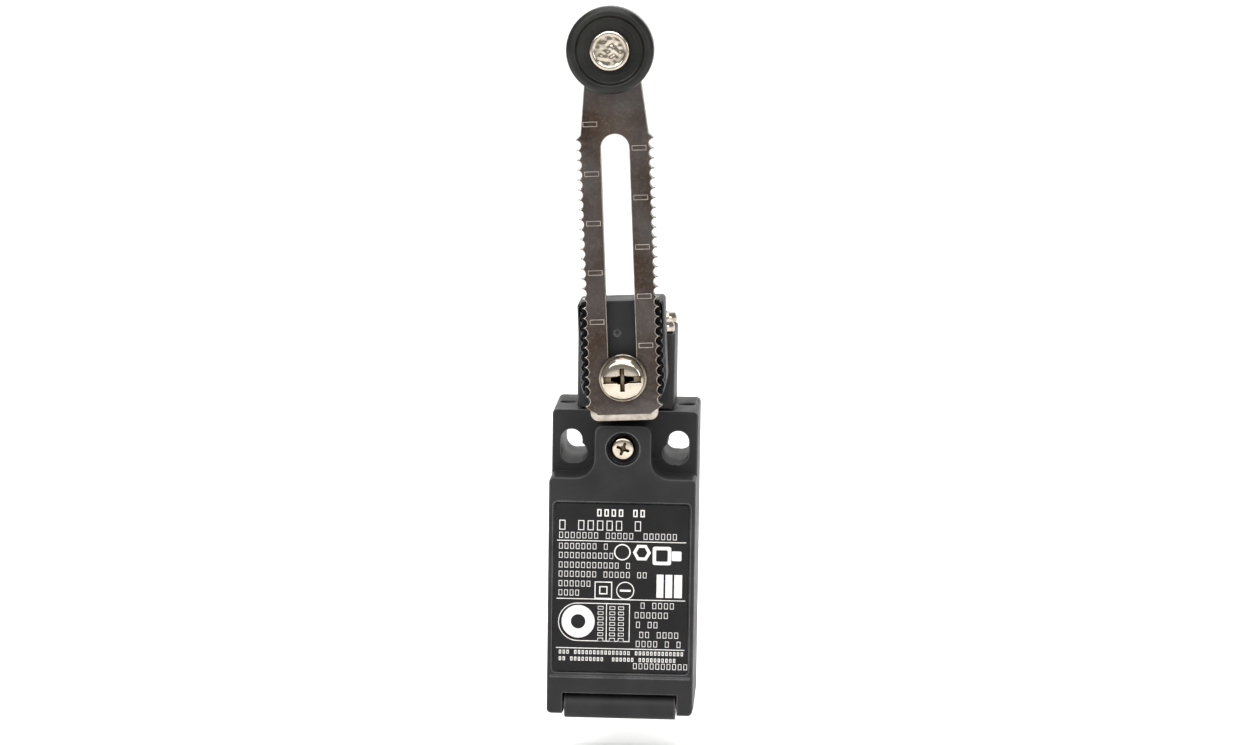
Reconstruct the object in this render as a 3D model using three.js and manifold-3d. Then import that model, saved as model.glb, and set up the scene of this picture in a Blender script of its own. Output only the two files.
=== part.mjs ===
// Limit switch with an adjustable, form-locked roller lever.
// Millimetres. +X is to the right, +Z is up and the front faces -Y. The mounting plane is y = 0, and the
// origin lies on it, midway between the two mounting slots.
// The lever stands in a group of its own, whose origin is the shaft's axis and whose +Z runs up the lever.
import * as THREE from "three";
import { mergeVertices } from "three/addons/utils/BufferGeometryUtils.js";
import Module from "manifold-3d";

const wasm = await Module();
wasm.setup();

// ---------------------------------------------------------------- clearances
const GAP = 0.3; // between pieces that seat on or in each other
const RUN = 0.1; // radial running clearance of what turns
const PAST = 1; // how far a cut runs past the face that it opens

// ---------------------------------------------------------------- case and cover
const CASE_WIDTH = 30;
const CASE_DEPTH = 21; // mounting plane to the parting plane, which is also the ears' front
const COVER_DEPTH = 9; // parting plane to the cover's face
const EAR_TOP = 7.6;
const CASE_DROP = 55.6; // bottom of the conduit end below the mounting slots
const COVER_LIFT = 1.2; // bottom of the cover above the case's bottom
const SHOULDER_DROP = 5.2; // top of the cover's wide part below the mounting slots
const WALL = 1.8;
const CORNER = 1; // rounding of the case's and the cover's outlines

const SLOT_SPACING = 22;
const SLOT_WIDTH = 4.4;
const SLOT_LENGTH = 7;
const HOLE_SPACING = 20; // the round lobes that open into the slots
const HOLE_DROP = 1.25;
const POCKET_SPACING = 24.6;
const POCKET_RADIUS = 1.75;
const POCKET_DEPTH = 3;
const STUD_SPACING = 20;
const STUD_LIFT = 7.4; // above the case's bottom
const STUD_RADIUS = 2;
const STUD_DEPTH = 4.8;

const CHAMBER_TOP_DROP = 7.2;
const CONDUIT_LENGTH = 9.6; // from the case's bottom to the floor of the wiring chamber
const CONDUIT_RADIUS = 9.2;
const CONDUIT_WALL = 2.4;
const CONDUIT_OFFSET = 14.5; // conduit's axis from the mounting plane

const HINGE_RADIUS = 2.7;
const HINGE_INSET = 3.1; // pin's axis behind the cover's face
const HINGE_LIFT = 2.5; // pin's axis above the case's bottom
const LUG_WIDTH = 3.25; // each lug of the cover beside the hinge notch
const PIN_RADIUS = 1;
const PIN_GRIP = 2; // how far the pin reaches into each lug of the cover

const TONGUE_WIDTH = 11.5;
const TONGUE_ROOM = 1.7; // from the tongue's top to the lever's holder
const TONGUE_CORNER = 1.8;
const TONGUE_FILLET = 4;
const COVER_SCREW_INSET = 4.85; // screw's axis below the tongue's top
const COVER_SCREW_RADIUS = 1.4;
const COVER_SCREW_HEAD = 2.45;
const COVER_SCREW_HEAD_HEIGHT = 1.7;
const COVER_SCREW_RECESS = 3.4;
const COVER_SCREW_SINK = 2.4;
const COVER_SCREW_BITE = 3.2;
const COVER_SCREW_SWING = 0.6; // radial room that lets the captive screw swing out with the cover
const CLIP_RADIUS = 2.5;
const CLIP_THICKNESS = 0.8;

const PLATE_SIDE_MARGIN = 1.3;
const PLATE_TOP_MARGIN = 5.3; // below the cover's shoulder
const PLATE_BOTTOM_MARGIN = 9; // above the cover's bottom
const PLATE_THICKNESS = 0.3;
const PLATE_CORNER = 0.8;

const SEAL_WIDTH = 1.6;
const SEAL_THICKNESS = 1.7;
const SEAL_LAP = 0.6; // how far the seal lies over the case's rim
const SEAL_CORNER = 0.8;

// ---------------------------------------------------------------- head
const HEAD_SIZE = 20;
const HEAD_SETBACK = 0.5; // head's front behind the ears' front
const HEAD_HEIGHT = 15.6;
const HEAD_CORNER = 1.6;
const HEAD_SCREW_INSET = 2.8; // from the head's sides to the screws' axes
const HEAD_SCREW_RADIUS = 1.2;
const HEAD_SCREW_HEAD = 2.6;
const HEAD_SCREW_HEAD_HEIGHT = 2.2;
const HEAD_SCREW_BITE = 3.4;
const SHAFT_LIFT = 16.2;
const SHAFT_RADIUS = 3.5;
const SPIGOT_RADIUS = 2.4;
const SPIGOT_LENGTH = 2.2;
const SPIGOT_WALL = 2;
const BUSH_WALL = 1.1;
const BUSH_LENGTH = 4.8;
const SHAFT_SEAL_LENGTH = 1.8;
const CAM_WALL = 1.1; // round the shaft
const CAM_FLAT_WALL = 0.35; // under the shaft, at the cam's flat
const CAM_ROOM = 0.4; // between the cam and its chamber
const CAM_END_ROOM = 0.8; // between the bush and the cam
const CAM_PIN_RADIUS = 0.7;
const WELL_RADIUS = 5;
const HEAD_SEAL_RADIUS = 7.6;
const HEAD_SEAL_WIDTH = 2;
const HEAD_SEAL_THICKNESS = 0.9;

const PLUNGER_RADIUS = 2.4;
const PLUNGER_FLANGE_RADIUS = 4.2;
const PLUNGER_FLANGE_THICKNESS = 1.1;
const PLUNGER_BOTTOM_DROP = 4.6;
const SPRING_WELL_RADIUS = 4.5;
const SPRING_WELL_DROP = 2; // floor of the return spring's well
const RETURN_SPRING = { radius: 3.45, wire: 0.4, turns: 6, steps: 12, sides: 6 };

// ---------------------------------------------------------------- lever
const LEVER_LEAN = THREE.MathUtils.degToRad(2.8); // to the left, half a tooth of the shaft's serration
const LEVER_REACH = 66.4; // shaft's axis to the roller's axis
const LEVER_TAIL = 8.9; // lever's lower end below the shaft's axis
const LEVER_HALF_WIDTH = 6.85; // at the bottom of the teeth
const LEVER_THICKNESS = 2;
const LEVER_EYE_RADIUS = 5.1;
const LEVER_NECK_HALF_WIDTH = 5.75;
const LEVER_NECK = 7; // from the roller's axis to the end of the eye
const LEVER_BLADE = 17.2; // from the roller's axis to the full width
const LEVER_CORNER = 1.6;
const TOOTH_PITCH = 2;
const TOOTH_DEPTH = 0.95;
const GULLET_SHARE = 0.97; // gullet's diameter over the pitch, which leaves a sharp cusp
const TOOTH_START = 18.2; // from the roller's axis to the first tooth's tip
const SLOT_HALF_WIDTH = 2.85;
const SLOT_START = 20; // from the roller's axis to the slot's upper centre
const SLOT_TAIL = 1.6; // slot's lower centre below the shaft's axis

const HOLDER_TOP = 15.4;
const HOLDER_STANDOFF = 0.8; // from the head's front to the holder
const HOLDER_DEPTH = 9.7;
const HOLDER_CORNER = 0.8;
const RAIL_CLEARANCE = 0.15; // lever's tooth tips to the holder's teeth
const RAIL_TOOTH_DEPTH = 0.4;
const RAIL_GULLET_SHARE = 0.9;
const RAIL_WALL = 0.8; // from the holder's teeth to its side
const HOLDER_FRONT_WALL = 2.1;
const DIMPLE_RADIUS = 0.7;

const LEVER_SCREW_RADIUS = 2.3;
const LEVER_SCREW_HEAD = 4.35;
const LEVER_SCREW_HEAD_HEIGHT = 2.5;
const LEVER_SCREW_BITE = 4.6; // into the shaft's end
const LEVER_WASHER_RADIUS = 4.8;
const LEVER_WASHER_THICKNESS = 0.9;

const ROLLER_RADIUS = 8.75;
const ROLLER_WIDTH = 6;
const ROLLER_FACE_RADIUS = 7;
const ROLLER_FACE_SINK = 0.9;
const ROLLER_BEVEL = 0.9;
const ROLLER_WASHER_THICKNESS = 0.5;
const ROLLER_WASHER_RADIUS = 4.4;
const ROLLER_PIN_RADIUS = 2.4;
const ROLLER_PIN_HEAD = 4;
const ROLLER_PIN_HEAD_HEIGHT = 1.4;
const RIVET_RADIUS = 3.2;
const RIVET_HEIGHT = 0.5;

// ---------------------------------------------------------------- built-in switch
const SWITCH_SIDE_ROOM = 0.6; // to each side wall of the case
const SWITCH_HEIGHT = 28.8;
const SWITCH_SETBACK = 1.6; // switch's front behind the parting plane
const SWITCH_LID_THICKNESS = 1.8;
const SWITCH_ROOF = 1.6;
const SWITCH_FLOOR = 1.6;
const SWITCH_FRONT_WALL = 3;
const BARRIER_HALF_THICKNESS = 1.1;
const BARRIER_DEPTH = 5;

const TRAVEL = 2.5; // stroke of both plungers
const CARRIER_HALF_WIDTH = 2;
const CARRIER_DEPTH = 5;
const CARRIER_ROOM = 1.2; // over the carrier at rest, and under it when it is pressed
const CARRIER_HEAD = 3.2; // from the carrier's top to its upper window
const CARRIER_CUP_WALL = 1; // over the cup that takes the carrier's spring
const CARRIER_STEM_RADIUS = 1.5;
const BRIDGE_END_ROOM = 0.6; // from the bridges' ends to the well's sides
const BRIDGE_DEPTH = 2.4;
const BRIDGE_THICKNESS = 0.8;
const WINDOW_HEIGHT = 4.5;
const WINDOW_SPACING = 6.5;
const TERMINAL_X = 8.3;
const TERMINAL_SIZE = 7;
const TERMINAL_THICKNESS = 1;
const STAB_WIDTH = 1.6;
const TERMINAL_SCREW_RADIUS = 1.5;
const TERMINAL_SCREW_HEAD = 3;
const TERMINAL_SCREW_HEAD_HEIGHT = 2.1;
const TERMINAL_SCREW_LENGTH = 5.2;
const SADDLE_SIZE = 6.2;
const SADDLE_THICKNESS = 0.8;
const CONTACT_SPRING = { radius: 0.8, wire: 0.2, turns: 3, steps: 8, sides: 4 };
const CARRIER_SPRING = { ...CONTACT_SPRING, turns: 6 };

// ---------------------------------------------------------------- screw and rivet heads, as shares
const CROWN_SHARE = 0.72; // crown's flat over the head's radius
const ROUND_SHARE = 0.35; // height of the rounded edge over the head's height
const CROSS_REACH = 0.55; // cross recess's reach over the head's radius
const CROSS_HALF = 0.11; // cross recess's half width over the head's radius
const CROSS_DEPTH = 0.55; // cross recess's depth over the head's height
const SLOT_REACH = 0.84; // straight slot's reach over the head's radius
const SLOT_HALF = 0.135; // straight slot's half width over the head's radius
const SLOT_DEPTH = 0.4; // straight slot's depth over the head's height
const RIVET_CROWN = 0.85; // crown's flat over a rivet head's radius
const RIVET_EDGE = 0.12; // height of a rivet head's rounded edge over its radius

// ---------------------------------------------------------------- places worked out from the sizes
const HALF_WIDTH = CASE_WIDTH / 2;
const COVER_DROP = CASE_DROP - COVER_LIFT;
const CHAMBER_DROP = CASE_DROP - CONDUIT_LENGTH;
const STUD_DROP = CASE_DROP - STUD_LIFT;
const HINGE_NOTCH_WIDTH = CASE_WIDTH - 2 * LUG_WIDTH;
const PLATE_HALF_WIDTH = HALF_WIDTH - PLATE_SIDE_MARGIN;
const PLATE_TOP_Z = -SHOULDER_DROP - PLATE_TOP_MARGIN;
const PLATE_BOTTOM_Z = -COVER_DROP + PLATE_BOTTOM_MARGIN;
const HEAD_SCREW_SPACING = HEAD_SIZE - 2 * HEAD_SCREW_INSET;
const CAM_RADIUS = SHAFT_RADIUS + RUN + CAM_WALL;
const CAM_FLAT = SHAFT_RADIUS + RUN + CAM_FLAT_WALL; // from the shaft's axis
const CAM_CHAMBER_RADIUS = CAM_RADIUS + CAM_ROOM;
const LEVER_TIP = LEVER_HALF_WIDTH + TOOTH_DEPTH; // from the lever's middle to its tooth tips
const HOLDER_RADIUS = LEVER_TIP + RAIL_CLEARANCE + RAIL_WALL;
const TOOTH_ROOM = LEVER_REACH + LEVER_TAIL - LEVER_CORNER - TOOTH_START; // length that the teeth may fill
const TOOTH_COUNT = Math.floor(TOOTH_ROOM / TOOTH_PITCH) + 1;
const TONGUE_TOP = SHAFT_LIFT - HOLDER_RADIUS - TONGUE_ROOM;
const COVER_SCREW_LIFT = TONGUE_TOP - COVER_SCREW_INSET;
const PARTING_Y = -CASE_DEPTH;
const FACE_Y = PARTING_Y - COVER_DEPTH;
const COVER_BACK_Y = PARTING_Y - GAP;
const HEAD_BOTTOM_Z = EAR_TOP + GAP;
const HEAD_TOP_Z = HEAD_BOTTOM_Z + HEAD_HEIGHT;
const HEAD_FRONT_Y = PARTING_Y + HEAD_SETBACK;
const HEAD_BACK_Y = HEAD_FRONT_Y + HEAD_SIZE;
const AXIS_Y = (HEAD_FRONT_Y + HEAD_BACK_Y) / 2; // the plungers' axis, in the middle of the head
const HOLDER_BACK_Y = HEAD_FRONT_Y - HOLDER_STANDOFF;
const HOLDER_FLOOR_Y = HOLDER_BACK_Y - HOLDER_DEPTH;
const LEVER_BACK_Y = HOLDER_FLOOR_Y - GAP;
const LEVER_FRONT_Y = LEVER_BACK_Y - LEVER_THICKNESS;
const HINGE_Y = FACE_Y + HINGE_INSET;
const HINGE_Z = -CASE_DROP + HINGE_LIFT;
const CHAMBER_TOP_Z = -CHAMBER_TOP_DROP;
const CHAMBER_FLOOR_Z = -CHAMBER_DROP;
const CHAMBER_HALF_WIDTH = HALF_WIDTH - WALL;
const SWITCH_HALF_WIDTH = CHAMBER_HALF_WIDTH - SWITCH_SIDE_ROOM;
const SWITCH_FRONT_Y = PARTING_Y + SWITCH_SETBACK;
const SWITCH_TOP_Z = CHAMBER_TOP_Z - GAP;
const SWITCH_BOTTOM_Z = SWITCH_TOP_Z - SWITCH_HEIGHT;
const SWITCH_BACK_Y = -WALL - GAP - SWITCH_LID_THICKNESS - GAP;
const CARRIER_TOP_Z = SWITCH_TOP_Z - SWITCH_ROOF - CARRIER_ROOM;
const CARRIER_BOTTOM_Z = SWITCH_BOTTOM_Z + SWITCH_FLOOR + CARRIER_ROOM + TRAVEL;
const UPPER_WINDOW_Z = CARRIER_TOP_Z - CARRIER_HEAD; // top of the upper window
const LOWER_WINDOW_Z = UPPER_WINDOW_Z - WINDOW_SPACING;
const CLOSED_BRIDGE_Z = UPPER_WINDOW_Z - GAP; // top of the bridge that is closed at rest
const OPEN_BRIDGE_Z = LOWER_WINDOW_Z - WINDOW_HEIGHT + GAP + BRIDGE_THICKNESS; // top of the open one
const CLOSED_STAB_Z = CLOSED_BRIDGE_Z + GAP; // underside of the upper stabs
const OPEN_STAB_Z = OPEN_BRIDGE_Z - BRIDGE_THICKNESS - TRAVEL - GAP; // top of the lower stabs
const CLOSED_TERMINAL_Z = CLOSED_STAB_Z + TERMINAL_THICKNESS / 2;
const OPEN_TERMINAL_Z = OPEN_STAB_Z - TERMINAL_THICKNESS / 2;
const STAB_X = TERMINAL_X - TERMINAL_SIZE / 2; // the stabs stand on the pads' inner edges
const BRIDGE_HALF_LENGTH = STAB_X + STAB_WIDTH / 2;
const SWITCH_WELL_HALF_WIDTH = BRIDGE_HALF_LENGTH + BRIDGE_END_ROOM;
const CARRIER_CUP_Z = LOWER_WINDOW_Z - WINDOW_HEIGHT - CARRIER_CUP_WALL; // top of the carrier spring's cup
const PLUNGER_TOP_Z = SHAFT_LIFT - CAM_RADIUS - 2 * RUN;

// ---------------------------------------------------------------- finishes
const FINISHES = {
  blackResin: { color: "#3a3839", roughness: 0.5, metalness: 0 },
  greyResin: { color: "#8f8a84", roughness: 0.5, metalness: 0 },
  darkRoller: { color: "#2d2d2b", roughness: 0.45, metalness: 0 },
  blackRubber: { color: "#1c1c1c", roughness: 0.85, metalness: 0 },
  plateFilm: { color: "#2b2a2c", roughness: 0.35, metalness: 0 },
  leverSteel: { color: "#5f5750", roughness: 0.42, metalness: 0.9 },
  brightNickel: { color: "#d9d2c8", roughness: 0.2, metalness: 1 },
  plainSteel: { color: "#a7a5a0", roughness: 0.35, metalness: 1 },
  springSteel: { color: "#8d8b88", roughness: 0.3, metalness: 1 },
  bronze: { color: "#a07a4c", roughness: 0.45, metalness: 1 },
  brass: { color: "#c2a05a", roughness: 0.3, metalness: 1 },
};

// ---------------------------------------------------------------- solids
// A closed geometry as a solid that can be joined and cut.
function solidOf(geometry) {
  const bare = geometry.clone();
  bare.deleteAttribute("normal");
  bare.deleteAttribute("uv");
  const merged = mergeVertices(bare, 1e-4);
  return new wasm.Manifold(
    new wasm.Mesh({
      numProp: 3,
      vertProperties: merged.attributes.position.array,
      triVerts: new Uint32Array(merged.index.array),
    }),
  );
}

// A box between two corners, each side given as a low and a high value in either order.
function block([x0, x1], [y0, y1], [z0, z1]) {
  const box = new THREE.BoxGeometry(Math.abs(x1 - x0), Math.abs(y1 - y0), Math.abs(z1 - z0));
  return solidOf(box.translate((x0 + x1) / 2, (y0 + y1) / 2, (z0 + z1) / 2));
}

// Turns a geometry whose axis is Y so that its axis is X, Y or Z, and moves it to a centre.
function along(geometry, axis, centre) {
  if (axis === "x") geometry.rotateZ(-Math.PI / 2);
  if (axis === "z") geometry.rotateX(Math.PI / 2);
  return geometry.translate(...centre);
}

// A solid of revolution: a closed list of [radius, distance along the axis], walked either way round.
function turned(axis, centre, profile, sides = 24) {
  const points = profile.map(([r, t]) => new THREE.Vector2(r, t));
  const area = THREE.ShapeUtils.area(points);
  const walk = area < 0 ? points.reverse() : points;
  const onAxis = walk.findIndex((p, i) => p.x === 0 && walk[(i + walk.length - 1) % walk.length].x === 0);
  const outline = onAxis < 0 ? [...walk, walk[0]] : [...walk.slice(onAxis), ...walk.slice(0, onAxis)];
  return solidOf(along(new THREE.LatheGeometry(outline, sides), axis, centre));
}

// A plain round bar from one distance to another along its axis.
function bar(axis, [x, y, z], radius, from, to, sides = 24) {
  return turned(axis, [x, y, z], [[0, from], [radius, from], [radius, to], [0, to]], sides);
}

// A plain ring.
function ring(axis, centre, inner, outer, from, to, sides = 24) {
  return turned(axis, centre, [[inner, from], [outer, from], [outer, to], [inner, to]], sides);
}

// An outline drawn in X and Z, extruded along Y between two values.
function slabY(shape, y0, y1, curveSegments = 6) {
  const depth = Math.abs(y1 - y0);
  const slab = new THREE.ExtrudeGeometry(shape, { depth, bevelEnabled: false, curveSegments });
  return solidOf(slab.rotateX(Math.PI / 2).translate(0, Math.max(y0, y1), 0));
}

// An outline drawn in X and Y, extruded along Z between two values.
function slabZ(shape, z0, z1, curveSegments = 6) {
  const depth = Math.abs(z1 - z0);
  const slab = new THREE.ExtrudeGeometry(shape, { depth, bevelEnabled: false, curveSegments });
  return solidOf(slab.translate(0, 0, Math.min(z0, z1)));
}

// A rectangle with round corners.
function roundedRectangle([x0, x1], [y0, y1], radius) {
  const shape = new THREE.Shape();
  shape.moveTo(x0 + radius, y0);
  shape.lineTo(x1 - radius, y0);
  shape.absarc(x1 - radius, y0 + radius, radius, -Math.PI / 2, 0);
  shape.lineTo(x1, y1 - radius);
  shape.absarc(x1 - radius, y1 - radius, radius, 0, Math.PI / 2);
  shape.lineTo(x0 + radius, y1);
  shape.absarc(x0 + radius, y1 - radius, radius, Math.PI / 2, Math.PI);
  shape.lineTo(x0, y0 + radius);
  shape.absarc(x0 + radius, y0 + radius, radius, Math.PI, 1.5 * Math.PI);
  return shape;
}

// A slot with round ends that stands upright between two centres.
function uprightSlot(x, low, high, radius) {
  const shape = new THREE.Shape();
  shape.absarc(x, high, radius, 0, Math.PI);
  shape.absarc(x, low, radius, Math.PI, 2 * Math.PI);
  shape.closePath();
  return shape;
}

// A coil of wire with upright axis, from one height to another.
function coil([x, y], spring, from, to) {
  const { radius, wire, turns, sides } = spring;
  const steps = turns * spring.steps;
  const points = [];
  for (let i = 0; i <= steps; i++) {
    const angle = (i / spring.steps) * 2 * Math.PI;
    const height = from + wire + ((to - from - 2 * wire) * i) / steps;
    points.push(new THREE.Vector3(x + radius * Math.cos(angle), y + radius * Math.sin(angle), height));
  }
  const section = new THREE.Shape();
  section.absarc(0, 0, wire, 0, 2 * Math.PI);
  const extrudePath = new THREE.CatmullRomCurve3(points);
  const options = { steps, extrudePath, curveSegments: sides / 2, bevelEnabled: false };
  return solidOf(new THREE.ExtrudeGeometry(section, options));
}

const subtractAll = (solid, cuts) => cuts.reduce((left, cut) => left.subtract(cut), solid);
const addAll = (solid, more) => more.reduce((joined, piece) => joined.add(piece), solid);

// Adds one named mesh to a group.
function place(group, name, solid, finish) {
  const { vertProperties, triVerts } = solid.getMesh();
  const geometry = new THREE.BufferGeometry();
  geometry.setAttribute("position", new THREE.BufferAttribute(vertProperties, 3));
  geometry.setIndex(new THREE.BufferAttribute(triVerts, 1));
  const flat = geometry.toNonIndexed();
  flat.computeVertexNormals();
  const mesh = new THREE.Mesh(flat, new THREE.MeshStandardMaterial(finish));
  mesh.name = name;
  group.add(mesh);
}

// A screw along Y with its head towards the front: pan head, shank and a driver recess.
// seat is the head's underside and tip is the shank's end.
function panScrew([x, z], shank, head, height, seat, tip, recess, sides = 24) {
  const crown = seat - height;
  const edge = crown + height * ROUND_SHARE;
  const flat = head * CROWN_SHARE;
  const profile = [[0, tip], [shank, tip], [shank, seat], [head, seat], [head, edge], [flat, crown]];
  const screw = turned("y", [x, 0, z], [...profile, [0, crown]], sides);
  return subtractAll(screw, recess([x, z], head, crown, height));
}

// A cross recess for a driver.
function crossRecess([x, z], head, crown, height) {
  const reach = head * CROSS_REACH;
  const half = head * CROSS_HALF;
  const floor = crown + height * CROSS_DEPTH;
  return [
    block([x - reach, x + reach], [crown - PAST, floor], [z - half, z + half]),
    block([x - half, x + half], [crown - PAST, floor], [z - reach, z + reach]),
  ];
}

// A straight slot right across the head, together with a cross recess.
function slottedCrossRecess([x, z], head, crown, height) {
  const half = head * SLOT_HALF;
  const reach = head * SLOT_REACH;
  const floor = crown + height * SLOT_DEPTH;
  const slot = block([x - reach, x + reach], [crown - PAST, floor], [z - half, z + half]);
  return [slot, ...crossRecess([x, z], head, crown, height)];
}

// The four corners of the head's screw pattern.
const headScrewCentres = [-1, 1].flatMap((side) =>
  [-1, 1].map((end) => [(side * HEAD_SCREW_SPACING) / 2, AXIS_Y + (end * HEAD_SCREW_SPACING) / 2]),
);

// ---------------------------------------------------------------- case
function mountingCuts(side) {
  const x = (side * SLOT_SPACING) / 2;
  const half = (SLOT_LENGTH - SLOT_WIDTH) / 2;
  const lobe = [(side * HOLE_SPACING) / 2, 0, -HOLE_DROP];
  const pocket = [(side * POCKET_SPACING) / 2, AXIS_Y, 0];
  const stud = [(side * STUD_SPACING) / 2, 0, -STUD_DROP];
  return [
    slabY(uprightSlot(x, -half, half, SLOT_WIDTH / 2), PAST, PARTING_Y - PAST),
    bar("y", lobe, SLOT_WIDTH / 2, PARTING_Y - PAST, PAST, 24),
    bar("z", pocket, POCKET_RADIUS, EAR_TOP - POCKET_DEPTH, EAR_TOP + PAST, 20),
    bar("y", stud, STUD_RADIUS, -STUD_DEPTH, PAST, 20),
  ];
}

function caseBody() {
  const outline = roundedRectangle([-HALF_WIDTH, HALF_WIDTH], [-CASE_DROP, EAR_TOP], CORNER);
  const hingeHalf = HINGE_NOTCH_WIDTH / 2 - GAP;
  const collarRadius = CONDUIT_RADIUS + CONDUIT_WALL;
  const webHeight = HINGE_RADIUS * 0.75; // the web that carries the hinge bar, above the bar's axis
  const joined = addAll(slabY(outline, 0, PARTING_Y, 3), [
    bar("z", [0, -CONDUIT_OFFSET, 0], collarRadius, -CASE_DROP, CHAMBER_FLOOR_Z - GAP, 48),
    bar("x", [0, HINGE_Y, HINGE_Z], HINGE_RADIUS, -hingeHalf, hingeHalf, 28),
    block([-hingeHalf, hingeHalf], [HINGE_Y, PARTING_Y + WALL], [-CASE_DROP, HINGE_Z + webHeight]),
  ]);
  const axis = [0, AXIS_Y, 0];
  const screwBore = COVER_SCREW_RADIUS + COVER_SCREW_SWING;
  return subtractAll(joined, [
    block(
      [-CHAMBER_HALF_WIDTH, CHAMBER_HALF_WIDTH],
      [PARTING_Y - PAST, -WALL],
      [CHAMBER_FLOOR_Z, CHAMBER_TOP_Z],
    ),
    bar("z", [0, -CONDUIT_OFFSET, 0], CONDUIT_RADIUS, -CASE_DROP - PAST, CHAMBER_FLOOR_Z + PAST, 48),
    bar("z", axis, SPRING_WELL_RADIUS, -SPRING_WELL_DROP, EAR_TOP + PAST, 28),
    bar("z", axis, PLUNGER_RADIUS + GAP, CHAMBER_TOP_Z - PAST, EAR_TOP, 24),
    bar("y", [0, 0, COVER_SCREW_LIFT], screwBore, PARTING_Y - PAST, PARTING_Y + COVER_SCREW_BITE + GAP, 20),
    bar("x", [0, HINGE_Y, HINGE_Z], PIN_RADIUS + GAP, -CASE_WIDTH, CASE_WIDTH, 16),
    ...[-1, 1].flatMap(mountingCuts),
    ...headScrewCentres.map(([x, y]) =>
      bar("z", [x, y, 0], HEAD_SCREW_RADIUS + GAP, EAR_TOP - HEAD_SCREW_BITE - GAP, EAR_TOP + PAST, 16),
    ),
  ]);
}

// ---------------------------------------------------------------- cover
function coverOutline() {
  const half = TONGUE_WIDTH / 2;
  const shoulder = -SHOULDER_DROP;
  const shape = new THREE.Shape();
  shape.moveTo(-HALF_WIDTH + CORNER, -COVER_DROP);
  shape.lineTo(HALF_WIDTH - CORNER, -COVER_DROP);
  shape.absarc(HALF_WIDTH - CORNER, -COVER_DROP + CORNER, CORNER, -Math.PI / 2, 0);
  shape.lineTo(HALF_WIDTH, shoulder - CORNER);
  shape.absarc(HALF_WIDTH - CORNER, shoulder - CORNER, CORNER, 0, Math.PI / 2);
  shape.lineTo(half + TONGUE_FILLET, shoulder);
  shape.absarc(half + TONGUE_FILLET, shoulder + TONGUE_FILLET, TONGUE_FILLET, -Math.PI / 2, -Math.PI, true);
  shape.lineTo(half, TONGUE_TOP - TONGUE_CORNER);
  shape.absarc(half - TONGUE_CORNER, TONGUE_TOP - TONGUE_CORNER, TONGUE_CORNER, 0, Math.PI / 2);
  shape.lineTo(-half + TONGUE_CORNER, TONGUE_TOP);
  shape.absarc(-half + TONGUE_CORNER, TONGUE_TOP - TONGUE_CORNER, TONGUE_CORNER, Math.PI / 2, Math.PI);
  shape.lineTo(-half, shoulder + TONGUE_FILLET);
  shape.absarc(-half - TONGUE_FILLET, shoulder + TONGUE_FILLET, TONGUE_FILLET, 0, -Math.PI / 2, true);
  shape.lineTo(-HALF_WIDTH + CORNER, shoulder);
  shape.absarc(-HALF_WIDTH + CORNER, shoulder - CORNER, CORNER, Math.PI / 2, Math.PI);
  shape.lineTo(-HALF_WIDTH, -COVER_DROP + CORNER);
  shape.absarc(-HALF_WIDTH + CORNER, -COVER_DROP + CORNER, CORNER, Math.PI, 1.5 * Math.PI);
  return shape;
}

// The name plate's outline, or its recess's, which is larger all round.
function plateOutline(grow) {
  const half = PLATE_HALF_WIDTH + grow;
  return roundedRectangle([-half, half], [PLATE_BOTTOM_Z - grow, PLATE_TOP_Z + grow], PLATE_CORNER);
}

const SEAL_OUTER_HALF = CHAMBER_HALF_WIDTH + SEAL_LAP;
const SEAL_TOP_Z = CHAMBER_TOP_Z + SEAL_LAP;
const SEAL_BOTTOM_Z = CHAMBER_FLOOR_Z + RUN;

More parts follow.
